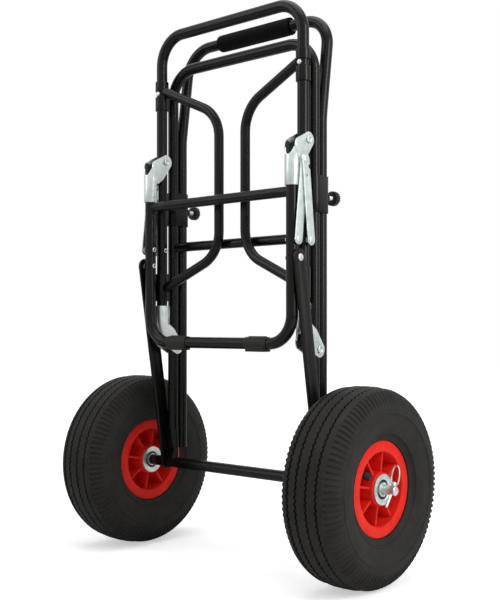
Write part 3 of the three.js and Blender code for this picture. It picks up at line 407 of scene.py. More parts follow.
def evaluated(made):
    """Applies an object's modifiers."""
    graph = bpy.context.evaluated_depsgraph_get()
    graph.update()
    mesh = bpy.data.meshes.new_from_object(made.evaluated_get(graph))
    made.modifiers.clear()
    made.data = mesh
    smooth_shaded(mesh)
    return made


def bevelled(made, width, segments=EDGE_STEPS, angle=SHARP):
    """Rounds the edges of an object that are sharper than an angle."""
    bevel = made.modifiers.new("round", "BEVEL")
    bevel.width = width
    bevel.segments = segments
    bevel.limit_method = "ANGLE"
    bevel.angle_limit = angle
    return evaluated(made)


def combined(made, others, operation):
    """Joins other objects to one, or cuts them out of it, and removes them."""
    for other in others:
        step = made.modifiers.new("step", "BOOLEAN")
        step.operation = operation
        step.solver = "EXACT"
        step.object = other
    evaluated(made)
    for other in others:
        bpy.data.objects.remove(other)
    return made


def coat(made, slot):
    """Gives a piece the material of a slot."""
    made.data.materials.clear()
    made.data.materials.append(MATERIALS[slot])


def stands_for(made, node):
    """The piece takes a node's place, body and material slot."""
    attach(made, NODES[node]["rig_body"])
    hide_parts(node)
    coat(made, SLOT_OF[node])
    return made


def rides_with(made, node, slot):
    """A small piece that no node has, on the body of a node."""
    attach(made, NODES[node]["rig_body"])
    coat(made, slot)


def ring_of(bm, centre, across, up, radius, sides):
    """Vertices of one circle."""
    return [
        bm.verts.new(centre + radius * (math.cos(a) * across + math.sin(a) * up))
        for a in (2 * math.pi * i / sides for i in range(sides))
    ]


def bridge(bm, first, second):
    """Faces between two rings of equal length."""
    count = len(first)
    for i in range(count):
        k = (i + 1) % count
        bm.faces.new((first[i], first[k], second[k], second[i]))


def bent_stops(corners, radii, straight_step):
    """Points and directions along straight stretches joined by arcs."""
    stops = [(corners[0], (corners[1] - corners[0]).normalized())]
    for i, radius in enumerate(radii, start=1):
        before = (corners[i] - corners[i - 1]).normalized()
        after = (corners[i + 1] - corners[i]).normalized()
        angle = before.angle(after)
        start = corners[i] - before * radius * math.tan(angle / 2)
        axis = before.cross(after).normalized()
        centre = start + axis.cross(before) * radius
        add_straight(stops, start, straight_step)
        steps = max(2, round(angle / ARC_STEP))
        for k in range(1, steps + 1):
            partly = Matrix.Rotation(angle * k / steps, 3, axis)
            stops.append((centre + partly @ (start - centre), partly @ before))
    add_straight(stops, corners[-1], straight_step)
    return stops


def add_straight(stops, end, step):
    """Stops up to an end point, no further apart than a step."""
    start, way = stops[-1]
    count = max(1, math.ceil((end - start).length / step))
    for k in range(1, count + 1):
        stops.append((start.lerp(end, k / count), way))


def tube(name, corners, radii, outer=TUBE_R, wall=TUBE_WALL, straight_step=UNSPLIT, rule=None):
    """A bent tube with open ends. A rule may move its points."""
    bm = bmesh.new()
    up = None
    rings = []
    for centre, way in bent_stops(corners, radii, straight_step):
        up = way.orthogonal() if up is None else up
        up = (up - way * up.dot(way)).normalized()
        across = way.cross(up)
        rings.append([ring_of(bm, centre, across, up, r, TUBE_SIDES) for r in (outer, outer - wall)])
    for (out_a, in_a), (out_b, in_b) in zip(rings, rings[1:]):
        bridge(bm, out_a, out_b)
        bridge(bm, in_b, in_a)
    bridge(bm, rings[0][1], rings[0][0])
    bridge(bm, rings[-1][0], rings[-1][1])
    if rule:
        for vertex in bm.verts:
            rule(vertex.co)
    return from_bmesh(name, bm)


def turned(name, profile, sides, place=Matrix.Identity(4), rule=None):
    """A body turned about the x axis; each point is a radius and a place along x."""
    bm = bmesh.new()
    rings = []
    for j, (r, x) in enumerate(profile):
        if r == 0:
            rings.append([bm.verts.new((x, 0, 0))] * sides)
            continue
        row = []
        for i in range(sides):
            radius, along = rule(i, j, r, x) if rule else (r, x)
            a = 2 * math.pi * i / sides
            row.append(bm.verts.new((along, radius * math.cos(a), radius * math.sin(a))))
        rings.append(row)
    pairs = list(zip(rings, rings[1:]))
    if profile[0][0] > 0:
        pairs.append((rings[-1], rings[0]))
    for first, second in pairs:
        for i in range(sides):
            k = (i + 1) % sides
            corners = dict.fromkeys((first[i], first[k], second[k], second[i]))
            if len(corners) > 2:
                bm.faces.new(list(corners))
    made = from_bmesh(name, bm)
    made.data.transform(place)
    return made


def extruded(name, outline, low, high):
    """A plate whose outline is drawn in y and z, between two values of x."""
    bm = bmesh.new()
    near = [bm.verts.new((low, y, z)) for y, z in outline]
    far = [bm.verts.new((high, y, z)) for y, z in outline]
    bm.faces.new(near)
    bm.faces.new(list(reversed(far)))
    bridge(bm, near, far)
    return from_bmesh(name, bm)


def hollow(name, outer, inner, low, high, facing):
    """A prism along x between two outlines with as many points, then turned."""
    bm = bmesh.new()
    rings = [[bm.verts.new((x, *point)) for point in line] for line in (outer, inner) for x in (low, high)]
    out_low, out_high, in_low, in_high = rings
    bridge(bm, out_low, out_high)
    bridge(bm, in_high, in_low)
    bridge(bm, in_low, out_low)
    bridge(bm, out_high, in_high)
    made = from_bmesh(name, bm)
    made.data.transform(facing)
    return made


def swept(name, points, radius):
    """A round wire along points, closed at both ends."""
    bm = bmesh.new()
    up = None
    rings = []
    for k, centre in enumerate(points):
        way = (points[min(k + 1, len(points) - 1)] - points[max(k - 1, 0)]).normalized()
        up = way.orthogonal() if up is None else up
        up = (up - way * up.dot(way)).normalized()
        rings.append(ring_of(bm, centre, way.cross(up), up, radius, WIRE_SIDES))
    for first, second in zip(rings, rings[1:]):
        bridge(bm, first, second)
    bm.faces.new(rings[0])
    bm.faces.new(rings[-1])
    return from_bmesh(name, bm)


def block(low, high):
    """A box between two corners."""
    (x0, y0, z0), (x1, y1, z1) = low, high
    return extruded("block", [(y0, z0), (y1, z0), (y1, z1), (y0, z1)], x0, x1)


def circle(radius, sides, centre=(0, 0)):
    """Corners of a circle."""
    return arc(centre, radius, 0, 2 * math.pi, sides)[:-1]


def arc(centre, radius, start, end, steps):
    """Points of an arc, both ends included."""
    turns = (start + (end - start) * k / steps for k in range(steps + 1))
    return [(centre[0] + radius * math.cos(a), centre[1] + radius * math.sin(a)) for a in turns]


def rod(radius, low, high, place=Matrix.Identity(4), sides=PIN_SIDES):
    """A plain cylinder along x."""
    return turned("rod", [(0, low), (radius, low), (radius, high), (0, high)], sides, place)


def dome(radius, base, height):
    """Half section of a rivet's head, from its rim to its crown."""
    side = DOME_SIDE_SHARE
    turns = (math.pi / 2 * k / DOME_STEPS for k in range(DOME_STEPS + 1))
    points = [(radius * math.cos(a), base + height * (side + (1 - side) * math.sin(a))) for a in turns]
    return [(radius, base), *points[:-1], (0, points[-1][1])]


def opposite(section):
    """Points of a section on its other side, in the reverse order."""
    return [(r, -x) for r, x in reversed(section)]


def smooth_line(points, steps):
    """A Catmull-Rom line through points, each a radius and a place along x."""
    line = []
    padded = [points[0], *points, points[-1]]
    for a, b, c, d in zip(padded, padded[1:], padded[2:], padded[3:]):
        for k in range(steps):
            t = k / steps
            line.append(tuple(catmull(t, *values) for values in zip(a, b, c, d)))
    line.append(tuple(points[-1]))
    return line


def catmull(t, a, b, c, d):
    """One coordinate of a Catmull-Rom stretch from b to c."""
    return 0.5 * (2 * b + (c - a) * t + (2 * a - 5 * b + 4 * c - d) * t**2 + (3 * b - a - 3 * c + d) * t**3)


def smoothstep(value, low, high):
    """Rises smoothly from 0 to 1 between two values."""
    t = min(1.0, max(0.0, (value - low) / (high - low)))
    return t * t * (3 - 2 * t)


# Materials.

DARK_STOP = 0.3
LIGHT_STOP = 0.7


def node_material(name):
    """A new material, its node tree and its shader."""
    made = bpy.data.materials.new(name)
    made.use_nodes = True
    tree = made.node_tree
    return made, tree, tree.nodes["Principled BSDF"]


def noise(tree, scale, detail, roughness=0.5):
    """Noise over the object's own coordinates, in features per metre."""
    place = tree.nodes.new("ShaderNodeTexCoord")
    texture = tree.nodes.new("ShaderNodeTexNoise")
    texture.inputs["Scale"].default_value = scale
    texture.inputs["Detail"].default_value = detail
    texture.inputs["Roughness"].default_value = roughness
    tree.links.new(place.outputs["Object"], texture.inputs["Vector"])
    return texture.outputs["Fac"]


def ramp(tree, value, stops):
    """Colours for a value: each stop is a place and a colour."""
    made = tree.nodes.new("ShaderNodeValToRGB")
    elements = made.color_ramp.elements
    while len(elements) < len(stops):
        elements.new(1)
    for element, (place, colour) in zip(elements, stops):
        element.position = place
        element.color = (*colour, 1)
    tree.links.new(value, made.inputs["Fac"])
    return made.outputs["Color"]


def spread(tree, value, low, high):
    """Maps a value from 0 to 1 onto a range."""
    made = tree.nodes.new("ShaderNodeMapRange")
    made.inputs["To Min"].default_value = low
    made.inputs["To Max"].default_value = high
    tree.links.new(value, made.inputs["Value"])
    return made.outputs["Result"]


def add_bump(tree, shader, height, distance):
    """Bump of a height over the surface."""
    bump = tree.nodes.new("ShaderNodeBump")
    bump.inputs["Distance"].default_value = distance
    tree.links.new(height, bump.inputs["Height"])
    tree.links.new(bump.outputs["Normal"], shader.inputs["Normal"])


def shades(colour, low, high):
    """A darker and a lighter shade of one colour."""
    return [(DARK_STOP, [c * low for c in colour]), (LIGHT_STOP, [c * high for c in colour])]


def surface(name, tones, blotches, roughness, grain, depth, specks=None, specular=0.5, metallic=0):
    """A material of blotched tones with a fine grain, and maybe specks of more and less gloss.

    Blotches, specks and grain are noises: features per metre, detail and, for some, roughness.
    """
    made, tree, shader = node_material(name)
    tree.links.new(ramp(tree, noise(tree, *blotches), tones), shader.inputs["Base Color"])
    if specks:
        tree.links.new(spread(tree, noise(tree, *specks), *roughness), shader.inputs["Roughness"])
    else:
        shader.inputs["Roughness"].default_value = roughness
    shader.inputs["Specular IOR Level"].default_value = specular
    shader.inputs["Metallic"].default_value = metallic
    add_bump(tree, shader, noise(tree, *grain), depth)
    return made


def powder_coat():
    """Semi-gloss black powder coat with faint orange peel and a little dust."""
    return surface(
        "frame_black", shades((0.0046, 0.0046, 0.004), 0.75, 1.3), blotches=(90, 3),
        roughness=(0.17, 0.29), specks=(240, 4), specular=0.17, grain=(900, 2), depth=0.00006,
    )


def zinc_plate():
    """Bright zinc plate, cool grey and slightly blotchy."""
    tones = [(0.3, (0.5, 0.57, 0.55)), (0.55, (0.6, 0.66, 0.635)), (0.8, (0.7, 0.74, 0.7))]
    return surface(
        "zinc", tones, blotches=(130, 5),
        roughness=(0.24, 0.44), specks=(420, 4), metallic=0.8, grain=(1400, 3), depth=0.00003,
    )


def red_plastic():
    """Moulded red plastic with a soft gloss."""
    return surface(
        "rim_red", shades((0.68, 0.017, 0.01), 0.9, 1.07), blotches=(60, 4),
        roughness=(0.34, 0.48), specks=(300, 3), specular=0.12, grain=(1100, 2), depth=0.00004,
    )


def tyre_rubber():
    """Dull dark grey rubber with a dusty bloom."""
    tones = [(DARK_STOP, (0.0125, 0.012, 0.0105)), (LIGHT_STOP, (0.0205, 0.0195, 0.017))]
    return surface(
        "tyre_grey", tones, blotches=(45, 6, 0.6),
        roughness=(0.55, 0.75), specks=(200, 4), specular=0.14, grain=(1600, 3), depth=0.0001,
    )


def foam():
    """Closed cell foam, very dull, with a fine pitted skin."""
    return surface(
        "foam_black", shades((0.007, 0.007, 0.007), 0.7, 1.3), blotches=(500, 4),
        roughness=0.92, specular=0.1, grain=(2200, 5), depth=0.0003,
    )


def dull_moulding(name, colour, roughness, grain, depth):
    """Dull moulded rubber or plastic with an even grain."""
    return surface(
        name, shades(colour, 0.8, 1.2), blotches=(250, 4),
        roughness=roughness, specks=(350, 3), specular=0.2, grain=(grain, 3), depth=depth,
    )


MATERIALS = {
    "frame_black": powder_coat(),
    "zinc": zinc_plate(),
    "rim_red": red_plastic(),
    "tyre_grey": tyre_rubber(),
    "foam_black": foam(),
    "pad_black": dull_moulding("pad_black", (0.017, 0.017, 0.015), (0.52, 0.68), 1500, 0.00015),
    "knob_black": dull_moulding("knob_black", (0.011, 0.011, 0.012), (0.37, 0.53), 1300, 0.00005),
    "tube_rubber": dull_moulding("tube_rubber", (0.015, 0.015, 0.015), (0.52, 0.68), 900, 0.00005),
}


# Frame tubes.


def press_tongue(v):
    """Flattens a leg's lower end and presses a dimple into it."""
    share = 1 - smoothstep(v.z, TONGUE_Z, TONGUE_Z + TONGUE_BLEND)
    widen = TONGUE_HALF / TUBE_R
    leg_x = math.copysign(FRAME_HALF, v.x)
    across = (v.x - leg_x) / DIMPLE_HALF_WIDTH
    along = (v.z - TONGUE_HOLE_Z) / DIMPLE_HALF_LENGTH
    dimple = TONGUE_DIMPLE * math.exp(-(across**2) - along**2)
    v.x = leg_x + (v.x - leg_x) * (1 + (widen - 1) * share)
    v.y = REAR_Y + (v.y - REAR_Y) * (1 + (1 - widen) * share)
    v.y -= math.copysign(min(dimple, abs(v.y)), v.y)


def legs_and_top(plane_y, ends_z, closed_z):
    """Corners of a hoop of two legs and a closed end."""
    corners = ((-1, ends_z), (-1, closed_z), (1, closed_z), (1, ends_z))
    return [Vector((side * FRAME_HALF, plane_y, z)) for side, z in corners]


def rear_hoop():
    """Hoop whose legs end in pressed tongues with a hole."""
    corners = legs_and_top(REAR_Y, AXLE_Z, REAR_TOP_Z)
    bent = tube("rear_hoop_tube", corners, [REAR_BEND] * 2, straight_step=HOOP_STEP, rule=press_tongue)
    spots = [at(sign * FRAME_HALF, REAR_Y, TONGUE_HOLE_Z) @ ALONG_Y for sign in SIDES.values()]
    holes = [rod(TONGUE_HOLE_R, -2 * TUBE_R, 2 * TUBE_R, spot) for spot in spots]
    stands_for(combined(bent, holes, "DIFFERENCE"), "rear_hoop")


def crossbar(node, y, z):
    """A bar whose ends are pressed flat before they meet the legs."""
    inner = FRAME_HALF - BAR_FLAT - BAR_BLEND

    def press(v):
        share = smoothstep(abs(v.x), inner, inner + BAR_BLEND)
        v.y = y + (v.y - y) * (1 + (BAR_FLAT_HALF / BAR_R - 1) * share)

    ends = [Vector((-FRAME_HALF, y, z)), Vector((FRAME_HALF, y, z))]
    bar = tube(node + "_tube", ends, [], BAR_R, TUBE_WALL, BAR_STEP, press)
    stands_for(bar, node)


def hoop(node, plane_y, ends_z, closed_z, bend):
    """A plain hoop of bent tube."""
    stands_for(tube(node + "_tube", legs_and_top(plane_y, ends_z, closed_z), [bend] * 2), node)


def tube_plug(name, carrier, place):
    """Ribbed plug in the open end of a leg, hollowed to sit on the tube that it folds against."""
    inner = TUBE_R - TUBE_WALL - GAP
    profile = [(0, -PLUG_SKIRT), (inner, -PLUG_SKIRT), (inner, GAP), (TUBE_R, GAP)]
    rib = PLUG_SIDE / PLUG_RIBS
    for k in range(PLUG_RIBS):
        foot = GAP + k * rib
        for rise, drop in PLUG_RIB_SHARES:
            profile.append((TUBE_R - drop * PLUG_RIB_DEPTH, foot + rise * rib))
    profile += [(r, GAP + PLUG_SIDE + z) for r, z in dome(TUBE_R, 0, PLUG_DOME)[1:]]
    plug = turned(name, profile, TUBE_SIDES, UPRIGHT)
    seat = rod(TUBE_R + GAP, -2 * TUBE_R, 2 * TUBE_R, at(0, 0, PIVOT_TO_END) @ ALONG_Y)
    combined(plug, [seat], "DIFFERENCE").data.transform(place)
    rides_with(plug, carrier, "knob_black")


def handle_hoop():
    """Hoop whose legs lean back above a knee."""
    side = [(HANDLE_Y, HANDLE_END_Z), (HANDLE_Y, HANDLE_KNEE_Z), (HANDLE_TOP_Y, HANDLE_TOP_Z)]
    left = [Vector((-HANDLE_HALF, y, z)) for y, z in side]
    right = [Vector((HANDLE_HALF, y, z)) for y, z in reversed(side)]
    radii = [HANDLE_KNEE_BEND, HANDLE_BEND, HANDLE_BEND, HANDLE_KNEE_BEND]
    stands_for(tube("handle_hoop_tube", [*left, *right], radii), "handle_hoop")


def foam_grip():
    """Foam sleeve with soft ends."""
    cut = GRIP_ROUND_SHARE * GRIP_ROUND
    half = [
        (TUBE_R, GRIP_HALF),
        (GRIP_R - GRIP_ROUND, GRIP_HALF),
        (GRIP_R - cut, GRIP_HALF - cut),
        (GRIP_R, GRIP_HALF - GRIP_ROUND),
        (GRIP_R, 0),
    ]
    side = smooth_line(half, GRIP_STEPS)
    profile = [*side, *opposite(side[:-1])]
    place = at(0, HANDLE_TOP_Y, HANDLE_TOP_Z)
    grip = stands_for(turned("foam_grip_sleeve", profile, TUBE_SIDES, place), "foam_grip")


def side_arm(tag, sign):
    """A bow, its ends cut to the sleeves' curve, and the two sleeves it is welded to."""
    place = at(sign * FRAME_HALF, DECK_Y, 0) @ turn(-sign * ARM_REST, "Z")
    drop = ARM_REACH * math.tan(ARM_SLOPE)
    corners = [
        Vector((0, 0, ARM_TOP_Z)),
        Vector((-sign * ARM_REACH, 0, ARM_TOP_Z - drop)),
        Vector((-sign * ARM_REACH, 0, ARM_BOTTOM_Z + drop)),
        Vector((0, 0, ARM_BOTTOM_Z)),
    ]
    trimmed = TUBE_R / 2 / ARM_REACH
    corners[0] = corners[0].lerp(corners[1], trimmed)
    corners[3] = corners[3].lerp(corners[2], trimmed)
    node = "side_arm_" + tag
    bow = tube(node + "_tube", corners, [ARM_BEND] * 2, ARM_R)
    reach = SLEEVE_R + ARM_R
    cutters = [rod(SLEEVE_R + GAP / 2, z - reach, z + reach, UPRIGHT) for z in (ARM_TOP_Z, ARM_BOTTOM_Z)]
    combined(bow, cutters, "DIFFERENCE").data.transform(place)
    stands_for(bow, node)
    for stem, (low, high) in (("arm_upper_sleeve_", UPPER_SLEEVE), ("arm_lower_sleeve_", LOWER_SLEEVE)):
        outer, inner = circle(SLEEVE_R, TUBE_SIDES), circle(TUBE_R + GAP, TUBE_SIDES)
        sleeve = hollow(stem + tag + "_ring", outer, inner, low, high, UPRIGHT)
        if low < STOP_Z < high:
            slot = block((0, -reach, STOP_Z - SLOT_HALF), (reach, reach, STOP_Z + SLOT_HALF))
            slot.data.transform(turn(-math.pi / 2 + sign * SLOT_AZIMUTH, "Z"))
            combined(sleeve, [slot], "DIFFERENCE")
        bevelled(sleeve, SLEEVE_ROUND).data.transform(place)
        stands_for(sleeve, stem + tag)


def arm_stop(tag, sign):
    """Rivet whose head stands in the upper sleeve's slot."""
    seat = TUBE_R + GAP
    profile = [(0, TUBE_R / 2), (STOP_R, TUBE_R / 2), (STOP_R, seat), *dome(STOP_HEAD_R, seat, STOP_HEAD)]
    place = at(sign * FRAME_HALF, DECK_Y, STOP_Z) @ ALONG_Y
    back = [(r, -y) for r, y in profile]
    stands_for(turned("arm_stop_head_" + tag, back, PIN_SIDES, place), "arm_stop_rivet_" + tag)


# Sheet, rivets and flat bars.


def ear_outline():
    """A bracket's ear in y and z, round its pivot."""
    slope = math.atan2(EAR_R + EAR_TOP_FRONT, EAR_FRONT)
    crest = math.pi / 2 + slope / 2
    top_z = -EAR_TOP_FRONT
    corner = (-EAR_FRONT + EAR_CORNER, top_z + EAR_CORNER * math.tan(slope))
    end = (-EAR_FRONT, top_z - EAR_CORNER)
    curve = []
    for k in range(CORNER_STEPS + 1):
        t = k / CORNER_STEPS
        parts = zip(corner, (-EAR_FRONT, top_z), end)
        curve.append(tuple((1 - t) ** 2 * a + 2 * t * (1 - t) * b + t**2 * c for a, b, c in parts))
    return [
        *arc((0, 0), EAR_R, EAR_REAR_TURN, crest, ROUND_STEPS),
        *curve,
        (-EAR_FRONT, -EAR_FRONT_LENGTH),
        (-PLANE_STEP, EAR_FOOT[1]),
        EAR_FOOT,
        EAR_REAR_KNEE,
    ]


def hinge_bracket(node, place):
    """Two ears at the pivot, wrapped round the tube in front and pinched behind it."""
    inner = TUBE_R + GAP
    outer = inner + SHEET
    reach = 2 * outer
    outlines = [circle(r, TUBE_SIDES, (0, -PLANE_STEP)) for r in (outer, inner)]
    body = hollow(node + "_sheet", *outlines, -CHANNEL_END, -EAR_FRONT_LENGTH, UPRIGHT)
    behind = block((-reach, -PLANE_STEP, EAR_FOOT[1]), (reach, outer, OVERLAP))
    front_y = -PLANE_STEP - reach
    rise = [(-EAR_FRONT, EAR_R), (front_y, EAR_R), (front_y, -WRAP_TOP), (-PLANE_STEP - inner, -WRAP_TOP)]
    mouth = extruded("mouth", [*rise, (-EAR_FRONT, -EAR_FRONT_LENGTH)], -reach, reach)
    combined(body, [behind, mouth], "DIFFERENCE")
    pinch_y = -PLANE_STEP + inner + SHEET / 2
    flange = block((-SHEET, pinch_y, -CHANNEL_END), (SHEET, FLANGE_Y, EAR_FOOT[1]))
    ears = [extruded("ear", ear_outline(), low, high) for low, high in ((inner, outer), (-outer, -inner))]
    combined(body, [flange, *ears], "UNION")
    combined(body, [rod(PIN_R + GAP, -reach, reach)], "DIFFERENCE")
    bevelled(body, BRACKET_ROUND, FEW_STEPS)
    head = dome(FLANGE_RIVET_R, SHEET, FLANGE_RIVET_HEAD)
    both = [*opposite(head[1:]), *head[1:]]
    spots = [at(0, FLANGE_RIVET_Y, z) for z in FLANGE_RIVETS]
    combined(body, [turned("head", both, PIN_SIDES, spot) for spot in spots], "UNION")
    combined(body, [rod(FLANGE_BORE_R, -reach, reach, spot) for spot in spots], "DIFFERENCE")
    body.data.transform(place)
    stands_for(body, node)


def rolled_head(radius, base, height, dish_r, dish):
    """Half section of a rivet's head with a rolled rim round a dish, from its rim to its middle."""
    crest = (radius + dish_r) / 2
    roll = (radius - dish_r) / 2
    edge = arc((crest, base + height - roll), roll, 0, math.pi, ROLL_STEPS)
    floor_z = base + height - dish
    return [(radius, base), *edge, (dish_r * DISH_FLOOR_SHARE, floor_z), (0, floor_z)]


def hinge_pin(node, place):
    """Rivet with a rolled head at each end."""
    seat = TUBE_R + GAP + SHEET + GAP
    head = [(PIN_R, seat), *rolled_head(PIN_HEAD_R, seat, PIN_HEAD, PIN_DISH_R, PIN_DISH)]
    both = [*opposite(head), *head]
    stands_for(turned(node + "_rivet", both, PIN_SIDES, place), node)


def leg_rivet(face, tail):
    """Section of a rivet from inside a leg through it and a washer to a face, and what follows."""
    inside = FRAME_HALF - TUBE_R - GAP
    outside = FRAME_HALF + TUBE_R + GAP
    end = rolled_head(RIVET_END_R, 0, RIVET_END, RIVET_BORE_R, RIVET_BORE)
    shaft = [(RIVET_R, inside), (RIVET_R, outside), (BOSS_R, outside), (BOSS_R, face)]
    return [*((r, inside - x) for r, x in reversed(end)), *shaft, *tail]


def on_side(profile, sign):
    """A section drawn on the right, for either side."""
    return [(r, sign * x) for r, x in profile]


def flat_bar(name, sign, length, half, face, thick):
    """A flat bar with round ends, upwards from the origin."""
    lower = arc((0, 0), half, math.pi, 2 * math.pi, ROUND_STEPS)
    upper = arc((0, length), half, 0, math.pi, ROUND_STEPS)
    return extruded(name, [*lower, *upper], *sorted((sign * face, sign * (face + thick))))


def cross_hole(radius, face, sign, y, z):
    """Cutter for a hole through a flat bar."""
    return rod(radius, *sorted((0, sign * 2 * face)), at(0, y, z))


def strut(tag, sign):
    """Flat bar from the axle tube to a leg, its rivet and the rivet's washer."""
    rise = STRUT_PIVOT_Z - AXLE_Z
    length = math.hypot(LEG_Y, rise)
    lean = math.atan2(-LEG_Y, rise)
    place = at(0, REAR_Y, AXLE_Z) @ turn(lean, "X")
    bar = flat_bar("strut_" + tag + "_bar", sign, length, STRUT_HALF, STRUT_X, STRUT_THICK)
    eye = cross_hole(AXLE_TUBE_R + GAP, STRUT_X, sign, 0, 0)
    hole = cross_hole(RIVET_R + GAP, STRUT_X, sign, 0, length)
    bevelled(combined(bar, [eye, hole], "DIFFERENCE"), STRUT_ROUND).data.transform(place)
    stands_for(bar, "strut_" + tag)
    seat = STRUT_X + STRUT_THICK + GAP
    rivet = [(0, STRUT_X), (RIVET_R, STRUT_X), (RIVET_R, seat), *dome(BOSS_R, seat, PIN_HEAD)]
    top = place @ at(0, 0, length)
    stands_for(turned("strut_head_" + tag, on_side(rivet, sign), PIN_SIDES, top), "strut_rivet_" + tag)
    boss = leg_rivet(STRUT_X - GAP, [(0, STRUT_X - GAP)])
    at_leg = at(0, LEG_Y, STRUT_PIVOT_Z)
    stands_for(turned("strut_washer_" + tag, on_side(boss, sign), PIN_SIDES, at_leg), "strut_boss_" + tag)


def stay_link(node, sign, face, place, heads, cuts):
    """One link of a folding stay, its rivet heads and the rivet through its leg."""
    bar = flat_bar(node + "_link", sign, STAY_LINK, STAY_HALF, face, STAY_THICK)
    cutters = [cross_hole(r, face, sign, y, z) for r, y, z in cuts]
    bevelled(combined(bar, cutters, "DIFFERENCE"), STAY_ROUND, FEW_STEPS)
    seat = face + STAY_THICK - OVERLAP
    head = dome(BOSS_R, seat, STAY_HEAD + OVERLAP)
    parts = [turned("rivet", on_side(leg_rivet(seat, head[1:]), sign), PIN_SIDES)]
    for z in heads:
        parts.append(turned("head", on_side([(0, seat), *head], sign), PIN_SIDES, at(0, 0, z)))
    combined(bar, parts, "UNION").data.transform(place)
    stands_for(bar, node)


def stays(tag, sign):
    """The two links of a folding stay, from the leg and from the deck to their middle pin."""
    lean = math.asin(PLANE_STEP / 2 / STAY_LINK)
    at_leg = at(0, LEG_Y, STAY_PIVOT_Z) @ turn(-lean, "X")
    at_deck = at(0, DECK_Y, STAY_PIVOT_Z) @ turn(lean, "X")
    stay_link("stay_leg_link_" + tag, sign, STAY_X, at_leg, [], [])
    outer_face = STAY_X + STAY_THICK + STAY_GAP
    cuts = [(STAY_NOTCH_R, STAY_HALF, STAY_NOTCH_Z), (STAY_HOLE_R, 0, STAY_HOLE_Z)]
    stay_link("stay_deck_link_" + tag, sign, outer_face, at_deck, [STAY_LINK], cuts)


def loop_round(first, second, radius):
    """Outline round two equal circles."""
    along = math.atan2(second[1] - first[1], second[0] - first[0])
    quarter = math.pi / 2
    return [
        *arc(second, radius, along - quarter, along + quarter, WRAP_STEPS),
        *arc(first, radius, along + quarter, along + 3 * quarter, WRAP_STEPS),
    ]


def clamp(tag, sign):
    """Sheet strap round two tubes with a welded nut, the threaded stud and the fluted knob."""
    legs = ((sign * FRAME_HALF, REAR_Y), (sign * HANDLE_HALF, HANDLE_Y))
    wall = TUBE_R + GAP
    outlines = [loop_round(*legs, r) for r in (wall + SHEET, wall)]
    strap = hollow("handle_clamp_" + tag + "_strap", *outlines, *CLAMP_Z, UPRIGHT)
    bevelled(strap, STRAP_ROUND, FEW_STEPS)
    at_knob = at(sign * HANDLE_HALF, 0, KNOB_Z) @ ALONG_Y
    wall_y = HANDLE_Y + wall
    nut_y = wall_y + SHEET + NUT_THICK
    nut = extruded("nut", circle(NUT_R, NUT_SIDES), wall_y + SHEET / 2, nut_y)
    bevelled(nut, NUT_ROUND, FEW_STEPS).data.transform(at_knob)
    combined(strap, [nut], "UNION")
    combined(strap, [rod(STUD_R + GAP, wall_y - SHEET, nut_y + SHEET, at_knob)], "DIFFERENCE")
    stands_for(strap, "handle_clamp_" + tag)

    end = KNOB_Y + STUD_IN_KNOB
    root = STUD_R - THREAD_DEPTH_SHARE * THREAD
    thread = [(0, wall_y)]
    for k in range(int((end - wall_y) / THREAD)):
        thread += [(root, wall_y + k * THREAD), (STUD_R, wall_y + (k + 0.5) * THREAD)]
    thread += [(root, end), (0, end)]
    stands_for(turned("clamp_thread_" + tag, thread, PIN_SIDES, at_knob), "clamp_stud_" + tag)

    steps = STEPS_PER_LOBE * KNOB_LOBES
    flutes = []
    for i in range(steps):
        a = 2 * math.pi * i / steps
        r = KNOB_R - KNOB_LOBE_DEPTH * (1 - math.cos(KNOB_LOBES * a)) / 2
        flutes.append((r * math.cos(a), r * math.sin(a)))
    knob = extruded("clamp_knob_" + tag + "_head", flutes, KNOB_Y, KNOB_Y + KNOB_THICK)
    bore = rod(STUD_R + GAP, KNOB_Y - THREAD, end + GAP)
    combined(bevelled(knob, KNOB_ROUND), [bore], "DIFFERENCE").data.transform(at_knob)
    stands_for(knob, "clamp_knob_" + tag)


def foot_pad(tag, sign):
    """Rubber pad round the bottom bar: a flat sole, a low fin and a thin collar at each end."""
    sole = math.asin(PAD_SOLE_HALF / PAD_TOP_R)
    fin = math.asin(PAD_FIN_HALF / PAD_TOP_R)
    down, up = -math.pi / 2, math.pi / 2
    outline = [
        (-PAD_SOLE_HALF, -PAD_R),
        (PAD_SOLE_HALF, -PAD_R),
        *arc((0, 0), PAD_TOP_R, down + sole, up - fin, WRAP_STEPS),
        (PAD_FIN_HALF, PAD_TOP_R + PAD_FIN),
        (-PAD_FIN_HALF, PAD_TOP_R + PAD_FIN),
        *arc((0, 0), PAD_TOP_R, up + fin, 2 * math.pi + down - sole, WRAP_STEPS),
    ]
    body_half = PAD_HALF - PAD_COLLAR
    pad = bevelled(extruded("foot_pad_" + tag + "_sleeve", outline, -body_half, body_half), PAD_ROUND)
    collar = extruded("collar", circle(PAD_COLLAR_R, TUBE_SIDES), -PAD_HALF, PAD_HALF)
    combined(pad, [collar], "UNION")
    bore = rod(TUBE_R + GAP, -2 * PAD_HALF, 2 * PAD_HALF, sides=TUBE_SIDES)
    combined(pad, [bore], "DIFFERENCE").data.transform(at(sign * PAD_X, LEG_Y, LEG_BOTTOM_Z))
    stands_for(pad, "foot_pad_" + tag)


# Axle and lynch pins.


def on_axle(x, sign):
    """A place on the axle that faces out of its side."""
    facing = Matrix.Identity(4) if sign > 0 else turn(math.pi, "Z")
    return at(sign * x, REAR_Y, AXLE_Z) @ facing


def pin_place(sign):
    """Where a lynch pin stands, its head up along z."""
    return on_axle(LYNCH_X, sign) @ turn(LYNCH_LEAN - math.pi / 2, "X")


